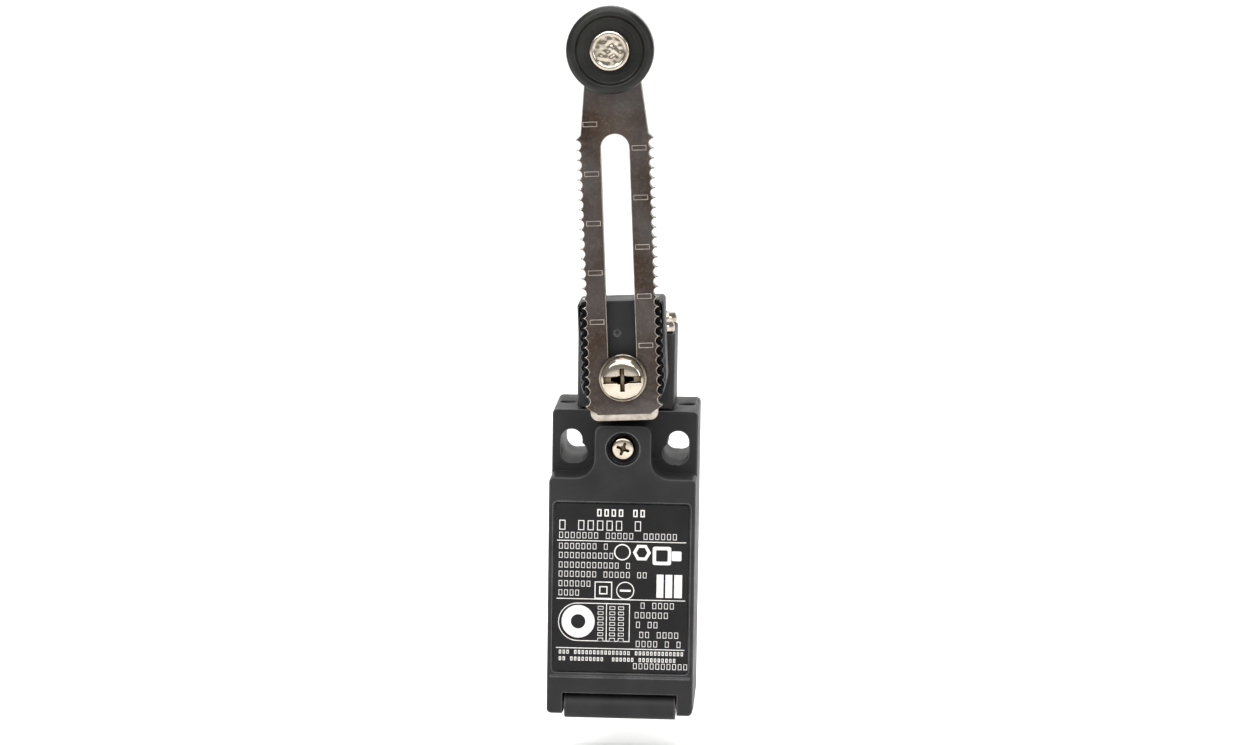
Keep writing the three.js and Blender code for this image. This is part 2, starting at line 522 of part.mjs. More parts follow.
function cover() {
  const inner = FACE_Y + WALL;
  const notch = HINGE_NOTCH_WIDTH / 2;
  const lugs = [-1, 1].map((side) =>
    block(
      [side * notch, side * (HALF_WIDTH - GAP)],
      [FACE_Y + GAP, HINGE_Y + HINGE_RADIUS],
      [-COVER_DROP + GAP, HINGE_Z + HINGE_RADIUS],
    ),
  );
  const shelf = block(
    [-CHAMBER_HALF_WIDTH - GAP, CHAMBER_HALF_WIDTH + GAP],
    [FACE_Y + GAP, COVER_BACK_Y - SEAL_THICKNESS - GAP],
    [SEAL_BOTTOM_Z, SEAL_BOTTOM_Z + SEAL_WIDTH],
  );
  const shell = slabY(coverOutline(), COVER_BACK_Y, FACE_Y, 5).subtract(
    block(
      [-CHAMBER_HALF_WIDTH, CHAMBER_HALF_WIDTH],
      [inner, COVER_BACK_Y + PAST],
      [-COVER_DROP + WALL, SEAL_TOP_Z - SEAL_WIDTH + GAP],
    ),
  );
  const screwAt = [0, 0, COVER_SCREW_LIFT];
  const clipSink = CLIP_THICKNESS + 3 * GAP;
  return subtractAll(addAll(shell, [...lugs, shelf]), [
    // the seal's rabbet
    block(
      [-SEAL_OUTER_HALF - GAP, SEAL_OUTER_HALF + GAP],
      [COVER_BACK_Y - SEAL_THICKNESS, COVER_BACK_Y + PAST],
      [SEAL_BOTTOM_Z - GAP, SEAL_TOP_Z + GAP],
    ),
    // the notch round the hinge bar and the conduit end behind it
    block(
      [-notch, notch],
      [FACE_Y - PAST, COVER_BACK_Y + PAST],
      [-COVER_DROP - PAST, HINGE_Z + HINGE_RADIUS + GAP],
    ),
    bar("x", [0, HINGE_Y, HINGE_Z], PIN_RADIUS + GAP, -notch - PIN_GRIP - GAP, notch + PIN_GRIP + GAP, 16),
    slabY(plateOutline(GAP), FACE_Y - PAST, FACE_Y + PLATE_THICKNESS + GAP, 3),
    bar("y", screwAt, COVER_SCREW_RECESS, FACE_Y - PAST, FACE_Y + COVER_SCREW_SINK, 28),
    bar("y", screwAt, COVER_SCREW_RADIUS + GAP, FACE_Y, COVER_BACK_Y + PAST, 20),
    bar("y", screwAt, CLIP_RADIUS + GAP, COVER_BACK_Y - clipSink, COVER_BACK_Y + PAST, 20),
  ]);
}

function frameSeal() {
  const outer = roundedRectangle(
    [-SEAL_OUTER_HALF, SEAL_OUTER_HALF],
    [SEAL_BOTTOM_Z, SEAL_TOP_Z],
    SEAL_CORNER,
  );
  const inner = block(
    [-SEAL_OUTER_HALF + SEAL_WIDTH, SEAL_OUTER_HALF - SEAL_WIDTH],
    [PARTING_Y, FACE_Y],
    [SEAL_BOTTOM_Z + SEAL_WIDTH, SEAL_TOP_Z - SEAL_WIDTH],
  );
  return slabY(outer, COVER_BACK_Y, COVER_BACK_Y - SEAL_THICKNESS + GAP, 3).subtract(inner);
}

function addCover(group) {
  const seat = FACE_Y + COVER_SCREW_SINK - GAP;
  const tip = PARTING_Y + COVER_SCREW_BITE;
  const clipBack = COVER_BACK_Y - GAP;
  const screwAt = [0, COVER_SCREW_LIFT];
  const clipAt = [0, 0, COVER_SCREW_LIFT];
  const pinHalf = HINGE_NOTCH_WIDTH / 2 + PIN_GRIP;
  const clipFront = clipBack - CLIP_THICKNESS;
  const clip = ring("y", clipAt, COVER_SCREW_RADIUS + RUN, CLIP_RADIUS, clipFront, clipBack, 20);
  const screw = panScrew(
    screwAt, COVER_SCREW_RADIUS, COVER_SCREW_HEAD, COVER_SCREW_HEAD_HEIGHT, seat, tip, crossRecess,
  );
  const namePlate = slabY(plateOutline(0), FACE_Y, FACE_Y + PLATE_THICKNESS, 3);
  place(group, "cover", cover(), FINISHES.blackResin);
  place(group, "cover_seal", frameSeal(), FINISHES.blackRubber);
  place(group, "name_plate", namePlate, FINISHES.plateFilm);
  place(group, "cover_screw", screw, FINISHES.brightNickel);
  place(group, "cover_screw_clip", clip, FINISHES.springSteel);
  const pin = bar("x", [0, HINGE_Y, HINGE_Z], PIN_RADIUS, -pinHalf, pinHalf, 16);
  place(group, "hinge_pin", pin, FINISHES.plainSteel);
}

// ---------------------------------------------------------------- head
const BUSH_OUTER = SHAFT_RADIUS + RUN + BUSH_WALL;
const BUSH_FRONT_Y = HEAD_FRONT_Y + GAP + SHAFT_SEAL_LENGTH + GAP;
const BUSH_BACK_Y = BUSH_FRONT_Y + BUSH_LENGTH;
const CAM_BACK_Y = HEAD_BACK_Y - SPIGOT_WALL - SPIGOT_LENGTH - 2 * GAP;
const CAM_FRONT_Y = BUSH_BACK_Y + CAM_END_ROOM;

function headCase() {
  const half = HEAD_SIZE / 2;
  const outline = roundedRectangle([-half, half], [HEAD_FRONT_Y, HEAD_BACK_Y], HEAD_CORNER);
  const shaftAt = [0, 0, SHAFT_LIFT];
  const axis = [0, AXIS_Y, 0];
  const sealSeat = HEAD_BOTTOM_Z + HEAD_SEAL_THICKNESS + GAP;
  return subtractAll(slabZ(outline, HEAD_BOTTOM_Z, HEAD_TOP_Z, 5), [
    bar("y", shaftAt, BUSH_OUTER + GAP, HEAD_FRONT_Y - PAST, BUSH_BACK_Y, 28),
    bar("y", shaftAt, CAM_CHAMBER_RADIUS, BUSH_BACK_Y - PAST, CAM_BACK_Y + GAP, 28),
    bar("y", shaftAt, SPIGOT_RADIUS + RUN, CAM_BACK_Y, HEAD_BACK_Y - SPIGOT_WALL, 28),
    bar("z", axis, WELL_RADIUS, HEAD_BOTTOM_Z - PAST, SHAFT_LIFT, 36),
    bar("z", axis, HEAD_SEAL_RADIUS + GAP, HEAD_BOTTOM_Z - PAST, sealSeat, 36),
    ...headScrewCentres.map(([x, y]) =>
      bar("z", [x, y, 0], HEAD_SCREW_RADIUS + GAP, HEAD_BOTTOM_Z - PAST, HEAD_TOP_Z + PAST, 16),
    ),
  ]);
}

// A head screw stands upright, with its head above the head case and its shank down into the case.
function headScrew([x, y]) {
  const seat = HEAD_TOP_Z + GAP;
  const crown = seat + HEAD_SCREW_HEAD_HEIGHT;
  const edge = crown - HEAD_SCREW_HEAD_HEIGHT * ROUND_SHARE;
  const tip = EAR_TOP - HEAD_SCREW_BITE;
  const profile = [[0, tip], [HEAD_SCREW_RADIUS, tip], [HEAD_SCREW_RADIUS, seat], [HEAD_SCREW_HEAD, seat]];
  const top = [[HEAD_SCREW_HEAD, edge], [HEAD_SCREW_HEAD * CROWN_SHARE, crown], [0, crown]];
  const reach = HEAD_SCREW_HEAD * CROSS_REACH;
  const half = HEAD_SCREW_HEAD * CROSS_HALF;
  const floor = crown - HEAD_SCREW_HEAD_HEIGHT * CROSS_DEPTH;
  return subtractAll(turned("z", [x, y, 0], [...profile, ...top], 20), [
    block([x - reach, x + reach], [y - half, y + half], [floor, crown + PAST]),
    block([x - half, x + half], [y - reach, y + reach], [floor, crown + PAST]),
  ]);
}

function addHead(group) {
  const shaftAt = [0, 0, SHAFT_LIFT];
  const axis = [0, AXIS_Y, 0];
  const bore = SHAFT_RADIUS + RUN;
  const sealFront = HEAD_FRONT_Y + GAP;
  const springFloor = -SPRING_WELL_DROP + GAP;
  const springTop = PLUNGER_TOP_Z - PLUNGER_FLANGE_THICKNESS - GAP;
  const sealInner = HEAD_SEAL_RADIUS - HEAD_SEAL_WIDTH;
  const sealTop = HEAD_BOTTOM_Z + HEAD_SEAL_THICKNESS;
  const headSeal = ring("z", axis, sealInner, HEAD_SEAL_RADIUS, HEAD_BOTTOM_Z, sealTop);
  const bush = ring("y", shaftAt, bore, BUSH_OUTER, BUSH_FRONT_Y, BUSH_BACK_Y, 28);
  place(group, "head_case", headCase(), FINISHES.blackResin);
  place(group, "head_seal", headSeal, FINISHES.blackRubber);
  headScrewCentres.forEach((centre, i) => {
    place(group, `head_screw_${i + 1}`, headScrew(centre), FINISHES.brightNickel);
  });
  place(
    group, "shaft_seal", ring("y", shaftAt, bore, BUSH_OUTER, sealFront, sealFront + SHAFT_SEAL_LENGTH, 28),
    FINISHES.blackRubber,
  );
  place(group, "shaft_bush", bush, FINISHES.bronze);
  place(
    group, "return_spring",
    coil([0, AXIS_Y], RETURN_SPRING, springFloor, springTop),
    FINISHES.springSteel,
  );
  place(group, "head_plunger", headPlunger(), FINISHES.greyResin);
}

function headPlunger() {
  const under = PLUNGER_TOP_Z - PLUNGER_FLANGE_THICKNESS;
  return turned("z", [0, AXIS_Y, 0], [
    [0, -PLUNGER_BOTTOM_DROP],
    [PLUNGER_RADIUS, -PLUNGER_BOTTOM_DROP],
    [PLUNGER_RADIUS, under],
    [PLUNGER_FLANGE_RADIUS, under],
    [PLUNGER_FLANGE_RADIUS, PLUNGER_TOP_Z],
    [0, PLUNGER_TOP_Z],
  ], 28);
}

// ---------------------------------------------------------------- shaft and lever, in the lever's frame
const SHAFT_FRONT_Y = HOLDER_FLOOR_Y + HOLDER_FRONT_WALL + GAP;
const CAM_MIDDLE_Y = (CAM_FRONT_Y + CAM_BACK_Y) / 2;
const CAM_PIN_HALF = CAM_RADIUS - RUN;

function shaft() {
  const back = HEAD_BACK_Y - SPIGOT_WALL - GAP;
  const body = turned("y", [0, 0, 0], [
    [0, SHAFT_FRONT_Y],
    [SHAFT_RADIUS, SHAFT_FRONT_Y],
    [SHAFT_RADIUS, CAM_BACK_Y],
    [SPIGOT_RADIUS, CAM_BACK_Y],
    [SPIGOT_RADIUS, back],
    [0, back],
  ], 28);
  const screwEnd = SHAFT_FRONT_Y + LEVER_SCREW_BITE + GAP;
  return subtractAll(body, [
    bar("y", [0, 0, 0], LEVER_SCREW_RADIUS + GAP, SHAFT_FRONT_Y - PAST, screwEnd),
    bar("x", [0, CAM_MIDDLE_Y, 0], CAM_PIN_RADIUS + GAP, -CASE_WIDTH, CASE_WIDTH, 14),
  ]);
}

function cam() {
  const sleeve = ring("y", [0, 0, 0], SHAFT_RADIUS + RUN, CAM_RADIUS, CAM_FRONT_Y, CAM_BACK_Y, 28);
  return subtractAll(sleeve, [
    block([-CAM_RADIUS, CAM_RADIUS], [CAM_FRONT_Y - PAST, CAM_BACK_Y + PAST], [-2 * CAM_RADIUS, -CAM_FLAT]),
    bar("x", [0, CAM_MIDDLE_Y, 0], CAM_PIN_RADIUS + GAP, -CASE_WIDTH, CASE_WIDTH, 14),
  ]);
}

// One gullet of the lever's teeth, round, so that neighbouring gullets leave a sharp cusp between them.
function gulletCut(side, z) {
  const radius = (TOOTH_PITCH / 2) * GULLET_SHARE;
  const centre = side * (LEVER_HALF_WIDTH + radius);
  return bar("y", [centre, 0, z], radius, LEVER_FRONT_Y - PAST, LEVER_BACK_Y + PAST, 8);
}

function holder() {
  const cornerX = HOLDER_RADIUS - HOLDER_CORNER;
  const shape = new THREE.Shape();
  shape.moveTo(HOLDER_RADIUS, 0);
  shape.lineTo(HOLDER_RADIUS, HOLDER_TOP - HOLDER_CORNER);
  shape.absarc(cornerX, HOLDER_TOP - HOLDER_CORNER, HOLDER_CORNER, 0, Math.PI / 2);
  shape.lineTo(-cornerX, HOLDER_TOP);
  shape.absarc(-cornerX, HOLDER_TOP - HOLDER_CORNER, HOLDER_CORNER, Math.PI / 2, Math.PI);
  shape.lineTo(-HOLDER_RADIUS, 0);
  shape.absarc(0, 0, HOLDER_RADIUS, Math.PI, 2 * Math.PI);
  const tips = LEVER_TIP + RAIL_CLEARANCE;
  const long = 2 * HOLDER_TOP;
  const channel = block([-tips, tips], [LEVER_FRONT_Y - PAST, HOLDER_FLOOR_Y], [-long, long]);
  const phase = (LEVER_REACH - TOOTH_START) % TOOTH_PITCH;
  const gullets = [];
  for (let z = phase - 2 * TOOTH_PITCH; z < HOLDER_TOP + TOOTH_PITCH; z += TOOTH_PITCH)
    for (const side of [-1, 1]) {
      const radius = (TOOTH_PITCH / 2) * RAIL_GULLET_SHARE;
      const centre = [side * (tips + RAIL_TOOTH_DEPTH - radius), 0, z];
      gullets.push(bar("y", centre, radius, LEVER_FRONT_Y - PAST, HOLDER_FLOOR_Y, 8));
    }
  const dimpleTop = HOLDER_FLOOR_Y - PAST;
  const dimpleRim = [DIMPLE_RADIUS, HOLDER_FLOOR_Y - GAP];
  const dimple = [[0, HOLDER_FLOOR_Y + GAP], dimpleRim, [DIMPLE_RADIUS, dimpleTop], [0, dimpleTop]];
  return subtractAll(slabY(shape, HOLDER_BACK_Y, LEVER_FRONT_Y, 12), [
    channel,
    ...gullets,
    bar("y", [0, 0, 0], SHAFT_RADIUS + GAP, HOLDER_FLOOR_Y + HOLDER_FRONT_WALL, HOLDER_BACK_Y + PAST, 28),
    bar("y", [0, 0, 0], LEVER_SCREW_RADIUS + GAP, HOLDER_FLOOR_Y - PAST, HOLDER_BACK_Y),
    turned("y", [-1, 0, HOLDER_RADIUS], dimple, 12),
  ]);
}

function leverPlate() {
  const neckZ = LEVER_REACH - LEVER_NECK;
  const bladeZ = LEVER_REACH - LEVER_BLADE;
  const lastTooth = LEVER_REACH - TOOTH_START - (TOOTH_COUNT - 1) * TOOTH_PITCH;
  const cornerX = LEVER_HALF_WIDTH - LEVER_CORNER;
  const cornerZ = LEVER_CORNER - LEVER_TAIL;
  const eyeAngle = Math.asin((LEVER_NECK_HALF_WIDTH - LEVER_EYE_RADIUS) / LEVER_NECK);
  const shape = new THREE.Shape();
  shape.moveTo(LEVER_HALF_WIDTH, cornerZ);
  shape.lineTo(LEVER_HALF_WIDTH, lastTooth - TOOTH_PITCH / 2);
  shape.lineTo(LEVER_TIP, lastTooth - TOOTH_PITCH / 8);
  shape.lineTo(LEVER_TIP, bladeZ - TOOTH_PITCH / 2);
  shape.lineTo(LEVER_HALF_WIDTH, bladeZ);
  shape.lineTo(LEVER_NECK_HALF_WIDTH, neckZ);
  shape.absarc(0, LEVER_REACH, LEVER_EYE_RADIUS, -eyeAngle, Math.PI + eyeAngle);
  shape.lineTo(-LEVER_NECK_HALF_WIDTH, neckZ);
  shape.lineTo(-LEVER_HALF_WIDTH, bladeZ);
  shape.lineTo(-LEVER_TIP, bladeZ - TOOTH_PITCH / 2);
  shape.lineTo(-LEVER_TIP, lastTooth - TOOTH_PITCH / 8);
  shape.lineTo(-LEVER_HALF_WIDTH, lastTooth - TOOTH_PITCH / 2);
  shape.lineTo(-LEVER_HALF_WIDTH, cornerZ);
  shape.absarc(-cornerX, cornerZ, LEVER_CORNER, Math.PI, 1.5 * Math.PI);
  shape.lineTo(cornerX, -LEVER_TAIL);
  shape.absarc(cornerX, cornerZ, LEVER_CORNER, -Math.PI / 2, 0);
  const gullets = [];
  for (let k = 0; k < TOOTH_COUNT - 1; k++) {
    const z = LEVER_REACH - TOOTH_START - (k + 0.5) * TOOTH_PITCH;
    gullets.push(gulletCut(-1, z), gulletCut(1, z));
  }
  const slot = uprightSlot(0, -SLOT_TAIL, LEVER_REACH - SLOT_START, SLOT_HALF_WIDTH);
  const behind = LEVER_BACK_Y + PAST;
  const ahead = LEVER_FRONT_Y - PAST;
  return subtractAll(slabY(shape, LEVER_BACK_Y, LEVER_FRONT_Y, 10), [
    slabY(slot, behind, ahead, 12),
    bar("y", [0, 0, LEVER_REACH], ROLLER_PIN_RADIUS + GAP, ahead, behind),
    ...gullets,
  ]);
}

const ROLLER_BACK_Y = LEVER_FRONT_Y - GAP - ROLLER_WASHER_THICKNESS - GAP;
const ROLLER_FRONT_Y = ROLLER_BACK_Y - ROLLER_WIDTH;
const ROLLER_WEB_Y = ROLLER_FRONT_Y + ROLLER_FACE_SINK;

function roller() {
  return turned("y", [0, 0, LEVER_REACH], [
    [ROLLER_PIN_RADIUS + RUN, ROLLER_BACK_Y],
    [ROLLER_RADIUS - ROLLER_BEVEL, ROLLER_BACK_Y],
    [ROLLER_RADIUS, ROLLER_BACK_Y - ROLLER_BEVEL],
    [ROLLER_RADIUS, ROLLER_FRONT_Y + ROLLER_BEVEL],
    [ROLLER_RADIUS - ROLLER_BEVEL, ROLLER_FRONT_Y],
    [ROLLER_FACE_RADIUS, ROLLER_FRONT_Y],
    [ROLLER_FACE_RADIUS - ROLLER_FACE_SINK / 2, ROLLER_WEB_Y],
    [ROLLER_PIN_RADIUS + RUN, ROLLER_WEB_Y],
  ], 44);
}

function rollerPin() {
  const headBack = ROLLER_WEB_Y - GAP;
  const headFront = headBack - ROLLER_PIN_HEAD_HEIGHT;
  const rivetFront = LEVER_BACK_Y + GAP;
  const rivetBack = rivetFront + RIVET_HEIGHT;
  return turned("y", [0, 0, LEVER_REACH], [
    [0, headFront],
    [ROLLER_PIN_HEAD * RIVET_CROWN, headFront],
    [ROLLER_PIN_HEAD, headFront + ROLLER_PIN_HEAD * RIVET_EDGE],
    [ROLLER_PIN_HEAD, headBack],
    [ROLLER_PIN_RADIUS, headBack],
    [ROLLER_PIN_RADIUS, rivetFront],
    [RIVET_RADIUS, rivetFront],
    [RIVET_RADIUS * RIVET_CROWN, rivetBack],
    [0, rivetBack],
  ], 32);
}

function addLever(group) {
  const washerBack = LEVER_FRONT_Y - GAP;
  const washerFront = washerBack - LEVER_WASHER_THICKNESS;
  const rollerWasherFront = washerBack - ROLLER_WASHER_THICKNESS;
  const eyeAt = [0, 0, LEVER_REACH];
  const screw = panScrew(
    [0, 0], LEVER_SCREW_RADIUS, LEVER_SCREW_HEAD, LEVER_SCREW_HEAD_HEIGHT, washerFront - GAP,
    SHAFT_FRONT_Y + LEVER_SCREW_BITE, slottedCrossRecess, 32,
  );
  const washerBore = LEVER_SCREW_RADIUS + GAP;
  const washer = ring("y", [0, 0, 0], washerBore, LEVER_WASHER_RADIUS, washerFront, washerBack);
  const rollerWasher = ring(
    "y", eyeAt, ROLLER_PIN_RADIUS + GAP, ROLLER_WASHER_RADIUS, rollerWasherFront, washerBack,
  );
  place(group, "shaft", shaft(), FINISHES.plainSteel);
  place(group, "cam", cam(), FINISHES.plainSteel);
  place(
    group, "cam_pin", bar("x", [0, CAM_MIDDLE_Y, 0], CAM_PIN_RADIUS, -CAM_PIN_HALF, CAM_PIN_HALF, 14),
    FINISHES.plainSteel,
  );
  place(group, "lever_holder", holder(), FINISHES.blackResin);
  place(group, "lever_plate", leverPlate(), FINISHES.leverSteel);
  place(group, "lever_washer", washer, FINISHES.brightNickel);
  place(group, "lever_screw", screw, FINISHES.brightNickel);
  place(group, "roller", roller(), FINISHES.darkRoller);
  place(group, "roller_pin", rollerPin(), FINISHES.brightNickel);
  place(group, "roller_washer", rollerWasher, FINISHES.plainSteel);
}

// ---------------------------------------------------------------- built-in switch
const CARRIER_FRONT_Y = AXIS_Y - CARRIER_DEPTH / 2;
const CARRIER_BACK_Y = AXIS_Y + CARRIER_DEPTH / 2;
const STAB_REAR_Y = AXIS_Y + BRIDGE_DEPTH / 2;
const TERMINAL_BACK_Y = SWITCH_FRONT_Y - GAP;
const TERMINAL_FRONT_Y = TERMINAL_BACK_Y - TERMINAL_THICKNESS;
const SADDLE_FRONT_Y = TERMINAL_FRONT_Y - GAP - SADDLE_THICKNESS;

// Each terminal's side and height: the closed pair above, the open pair below.
const terminalPlaces = [
  { side: -1, z: CLOSED_TERMINAL_Z },
  { side: 1, z: CLOSED_TERMINAL_Z },
  { side: -1, z: OPEN_TERMINAL_Z },
  { side: 1, z: OPEN_TERMINAL_Z },
];

function stab({ side, z }, grow) {
  const half = STAB_WIDTH / 2 + grow;
  const thick = TERMINAL_THICKNESS / 2 + grow;
  const x = side * STAB_X;
  return block([x - half, x + half], [TERMINAL_FRONT_Y, STAB_REAR_Y], [z - thick, z + thick]);
}

function terminal(at) {
  const half = TERMINAL_SIZE / 2;
  const x = at.side * TERMINAL_X;
  const pad = block([x - half, x + half], [TERMINAL_FRONT_Y, TERMINAL_BACK_Y], [at.z - half, at.z + half]);
  const bore = TERMINAL_SCREW_RADIUS + GAP;
  const hole = bar("y", [x, 0, at.z], bore, TERMINAL_FRONT_Y - PAST, TERMINAL_BACK_Y + PAST, 16);
  return pad.add(stab(at, 0)).subtract(hole);
}

function saddle({ side, z }) {
  const half = SADDLE_SIZE / 2;
  const x = side * TERMINAL_X;
  const back = TERMINAL_FRONT_Y - GAP;
  return block([x - half, x + half], [SADDLE_FRONT_Y, back], [z - half, z + half]).subtract(
    bar("y", [x, 0, z], TERMINAL_SCREW_RADIUS + GAP, SADDLE_FRONT_Y - PAST, back + PAST, 16),
  );
}

function switchCase() {
  const front = SWITCH_FRONT_Y;
  const wellFront = front + SWITCH_FRONT_WALL;
  const barrierFront = front - BARRIER_DEPTH;
  const shelfZ = (CLOSED_TERMINAL_Z + OPEN_TERMINAL_Z) / 2;
  const shelfHalf = SWITCH_HALF_WIDTH - SEAL_WIDTH;
  const shell = addAll(
    block([-SWITCH_HALF_WIDTH, SWITCH_HALF_WIDTH], [SWITCH_BACK_Y, front], [SWITCH_BOTTOM_Z, SWITCH_TOP_Z]),
    [
      block(
        [-BARRIER_HALF_THICKNESS, BARRIER_HALF_THICKNESS],
        [barrierFront, front + GAP],
        [SWITCH_BOTTOM_Z, SWITCH_TOP_Z - SWITCH_ROOF],
      ),
      block(
        [-shelfHalf, shelfHalf],
        [barrierFront + SWITCH_ROOF, front + GAP],
        [shelfZ - BARRIER_HALF_THICKNESS / 2, shelfZ + BARRIER_HALF_THICKNESS / 2],
      ),
    ],
  );
  const screwEnd = SADDLE_FRONT_Y + TERMINAL_SCREW_LENGTH + GAP;
  const screwBore = TERMINAL_SCREW_RADIUS + GAP;
  const roofCut = SWITCH_TOP_Z - 2 * SWITCH_ROOF;
  return subtractAll(shell, [
    block(
      [-SWITCH_WELL_HALF_WIDTH, SWITCH_WELL_HALF_WIDTH],
      [wellFront, SWITCH_BACK_Y + PAST],
      [SWITCH_BOTTOM_Z + SWITCH_FLOOR, SWITCH_TOP_Z - SWITCH_ROOF],
    ),
    bar("z", [0, AXIS_Y, 0], CARRIER_STEM_RADIUS + GAP, roofCut, SWITCH_TOP_Z + PAST, 18),
    ...terminalPlaces.map((at) => stab(at, GAP)),
    ...terminalPlaces.map(({ side, z }) =>
      bar("y", [side * TERMINAL_X, 0, z], screwBore, front - PAST, screwEnd, 16),
    ),
  ]);
}

function carrier() {
  const stemTop = -PLUNGER_BOTTOM_DROP - GAP;
  const stem = bar("z", [0, AXIS_Y, 0], CARRIER_STEM_RADIUS, CARRIER_TOP_Z - GAP, stemTop, 18);
  const slide = block(
    [-CARRIER_HALF_WIDTH, CARRIER_HALF_WIDTH],
    [CARRIER_FRONT_Y, CARRIER_BACK_Y],
    [CARRIER_BOTTOM_Z, CARRIER_TOP_Z],
  );
  const windowHalf = BRIDGE_DEPTH / 2 + GAP;
  const windows = [UPPER_WINDOW_Z, LOWER_WINDOW_Z].map((top) =>
    block(
      [-CARRIER_HALF_WIDTH - PAST, CARRIER_HALF_WIDTH + PAST],
      [AXIS_Y - windowHalf, AXIS_Y + windowHalf],
      [top - WINDOW_HEIGHT, top],
    ),
  );
  const cup = CONTACT_SPRING.radius + CONTACT_SPRING.wire + GAP;
  return subtractAll(slide.add(stem), [
    ...windows,
    bar("z", [0, AXIS_Y, 0], cup, CARRIER_BOTTOM_Z - PAST, CARRIER_CUP_Z, 16),
  ]);
}

function bridge(top) {
  const half = BRIDGE_DEPTH / 2;
  return block(
    [-BRIDGE_HALF_LENGTH, BRIDGE_HALF_LENGTH],
    [AXIS_Y - half, AXIS_Y + half],
    [top - BRIDGE_THICKNESS, top],
  );
}

function addSwitch(group) {
  const lid = block(
    [-SWITCH_HALF_WIDTH, SWITCH_HALF_WIDTH],
    [-WALL - GAP, -WALL - GAP - SWITCH_LID_THICKNESS],
    [SWITCH_BOTTOM_Z, SWITCH_TOP_Z],
  );
  const wellFloor = SWITCH_BOTTOM_Z + SWITCH_FLOOR;
  const closedUnder = CLOSED_BRIDGE_Z - BRIDGE_THICKNESS - GAP;
  const upperFloor = UPPER_WINDOW_Z - WINDOW_HEIGHT + GAP;
  const axis = [0, AXIS_Y];
  const closedSpring = coil(axis, CONTACT_SPRING, upperFloor, closedUnder);
  const openSpring = coil(axis, CONTACT_SPRING, OPEN_BRIDGE_Z + GAP, LOWER_WINDOW_Z - GAP);
  const carrierSpring = coil(axis, CARRIER_SPRING, wellFloor + GAP, CARRIER_CUP_Z - GAP);
  place(group, "switch_case", switchCase(), FINISHES.greyResin);
  place(group, "switch_lid", lid, FINISHES.greyResin);
  place(group, "contact_carrier", carrier(), FINISHES.greyResin);
  place(group, "closed_bridge", bridge(CLOSED_BRIDGE_Z), FINISHES.brass);
  place(group, "open_bridge", bridge(OPEN_BRIDGE_Z), FINISHES.brass);
  place(group, "closed_bridge_spring", closedSpring, FINISHES.springSteel);
  place(group, "open_bridge_spring", openSpring, FINISHES.springSteel);
  place(group, "carrier_spring", carrierSpring, FINISHES.springSteel);
  terminalPlaces.forEach((at, i) => {
    const centre = [at.side * TERMINAL_X, at.z];
    const screw = panScrew(
      centre, TERMINAL_SCREW_RADIUS, TERMINAL_SCREW_HEAD, TERMINAL_SCREW_HEAD_HEIGHT, SADDLE_FRONT_Y - GAP,
      SADDLE_FRONT_Y + TERMINAL_SCREW_LENGTH, crossRecess, 20,
    );
    place(group, `terminal_${i + 1}`, terminal(at), FINISHES.brass);
    place(group, `terminal_saddle_${i + 1}`, saddle(at), FINISHES.brightNickel);
    place(group, `terminal_screw_${i + 1}`, screw, FINISHES.brightNickel);
  });
}

// ---------------------------------------------------------------- assembly
const limitSwitch = new THREE.Group();
const lever = new THREE.Group();
lever.position.set(0, 0, SHAFT_LIFT);
lever.rotation.y = -LEVER_LEAN;
limitSwitch.add(lever);

place(limitSwitch, "case_body", caseBody(), FINISHES.blackResin);
addCover(limitSwitch);
addHead(limitSwitch);
addSwitch(limitSwitch);
addLever(lever);

export default limitSwitch;
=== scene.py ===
"""Visual model of a limit switch with an adjustable, toothed roller lever.

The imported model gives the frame: every size and place that belongs to a CAD node is read from it, and the
dataclasses below hold only the sizes of what is modelled here. Lengths are in millimetres and become metres
when a mesh is written. +X is to the right, +Z is up and the front faces -Y.
"""

from __future__ import annotations

import logging
import math
from dataclasses import dataclass
from enum import Enum
from typing import Callable, Iterable, Sequence

import bmesh
import bpy
from mathutils import Matrix, Vector, noise

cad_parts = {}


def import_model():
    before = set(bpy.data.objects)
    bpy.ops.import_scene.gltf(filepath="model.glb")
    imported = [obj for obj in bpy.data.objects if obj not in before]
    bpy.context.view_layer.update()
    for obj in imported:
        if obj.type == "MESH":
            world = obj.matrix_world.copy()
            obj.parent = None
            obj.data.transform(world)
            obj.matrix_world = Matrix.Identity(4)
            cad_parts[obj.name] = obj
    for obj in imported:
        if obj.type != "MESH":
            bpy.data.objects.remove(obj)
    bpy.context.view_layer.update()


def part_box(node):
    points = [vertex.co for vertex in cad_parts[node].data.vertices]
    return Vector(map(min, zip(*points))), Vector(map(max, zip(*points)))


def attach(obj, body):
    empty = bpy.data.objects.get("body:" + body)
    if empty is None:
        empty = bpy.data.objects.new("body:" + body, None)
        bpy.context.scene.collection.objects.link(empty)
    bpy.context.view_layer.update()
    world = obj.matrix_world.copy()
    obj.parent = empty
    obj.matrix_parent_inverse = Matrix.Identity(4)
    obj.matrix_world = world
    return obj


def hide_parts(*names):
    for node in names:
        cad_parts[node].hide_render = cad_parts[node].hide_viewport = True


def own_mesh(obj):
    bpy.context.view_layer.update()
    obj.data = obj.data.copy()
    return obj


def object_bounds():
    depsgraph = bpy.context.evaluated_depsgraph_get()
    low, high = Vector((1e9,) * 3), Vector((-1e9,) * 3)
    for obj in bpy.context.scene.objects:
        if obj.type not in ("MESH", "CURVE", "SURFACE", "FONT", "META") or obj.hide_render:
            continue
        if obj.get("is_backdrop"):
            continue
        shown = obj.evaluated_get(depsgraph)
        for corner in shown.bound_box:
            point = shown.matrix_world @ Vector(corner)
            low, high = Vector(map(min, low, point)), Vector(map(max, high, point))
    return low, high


LOG = logging.getLogger("limit_switch")
MM = 0.001
Point = tuple[float, float]
Solid = bmesh.types.BMesh
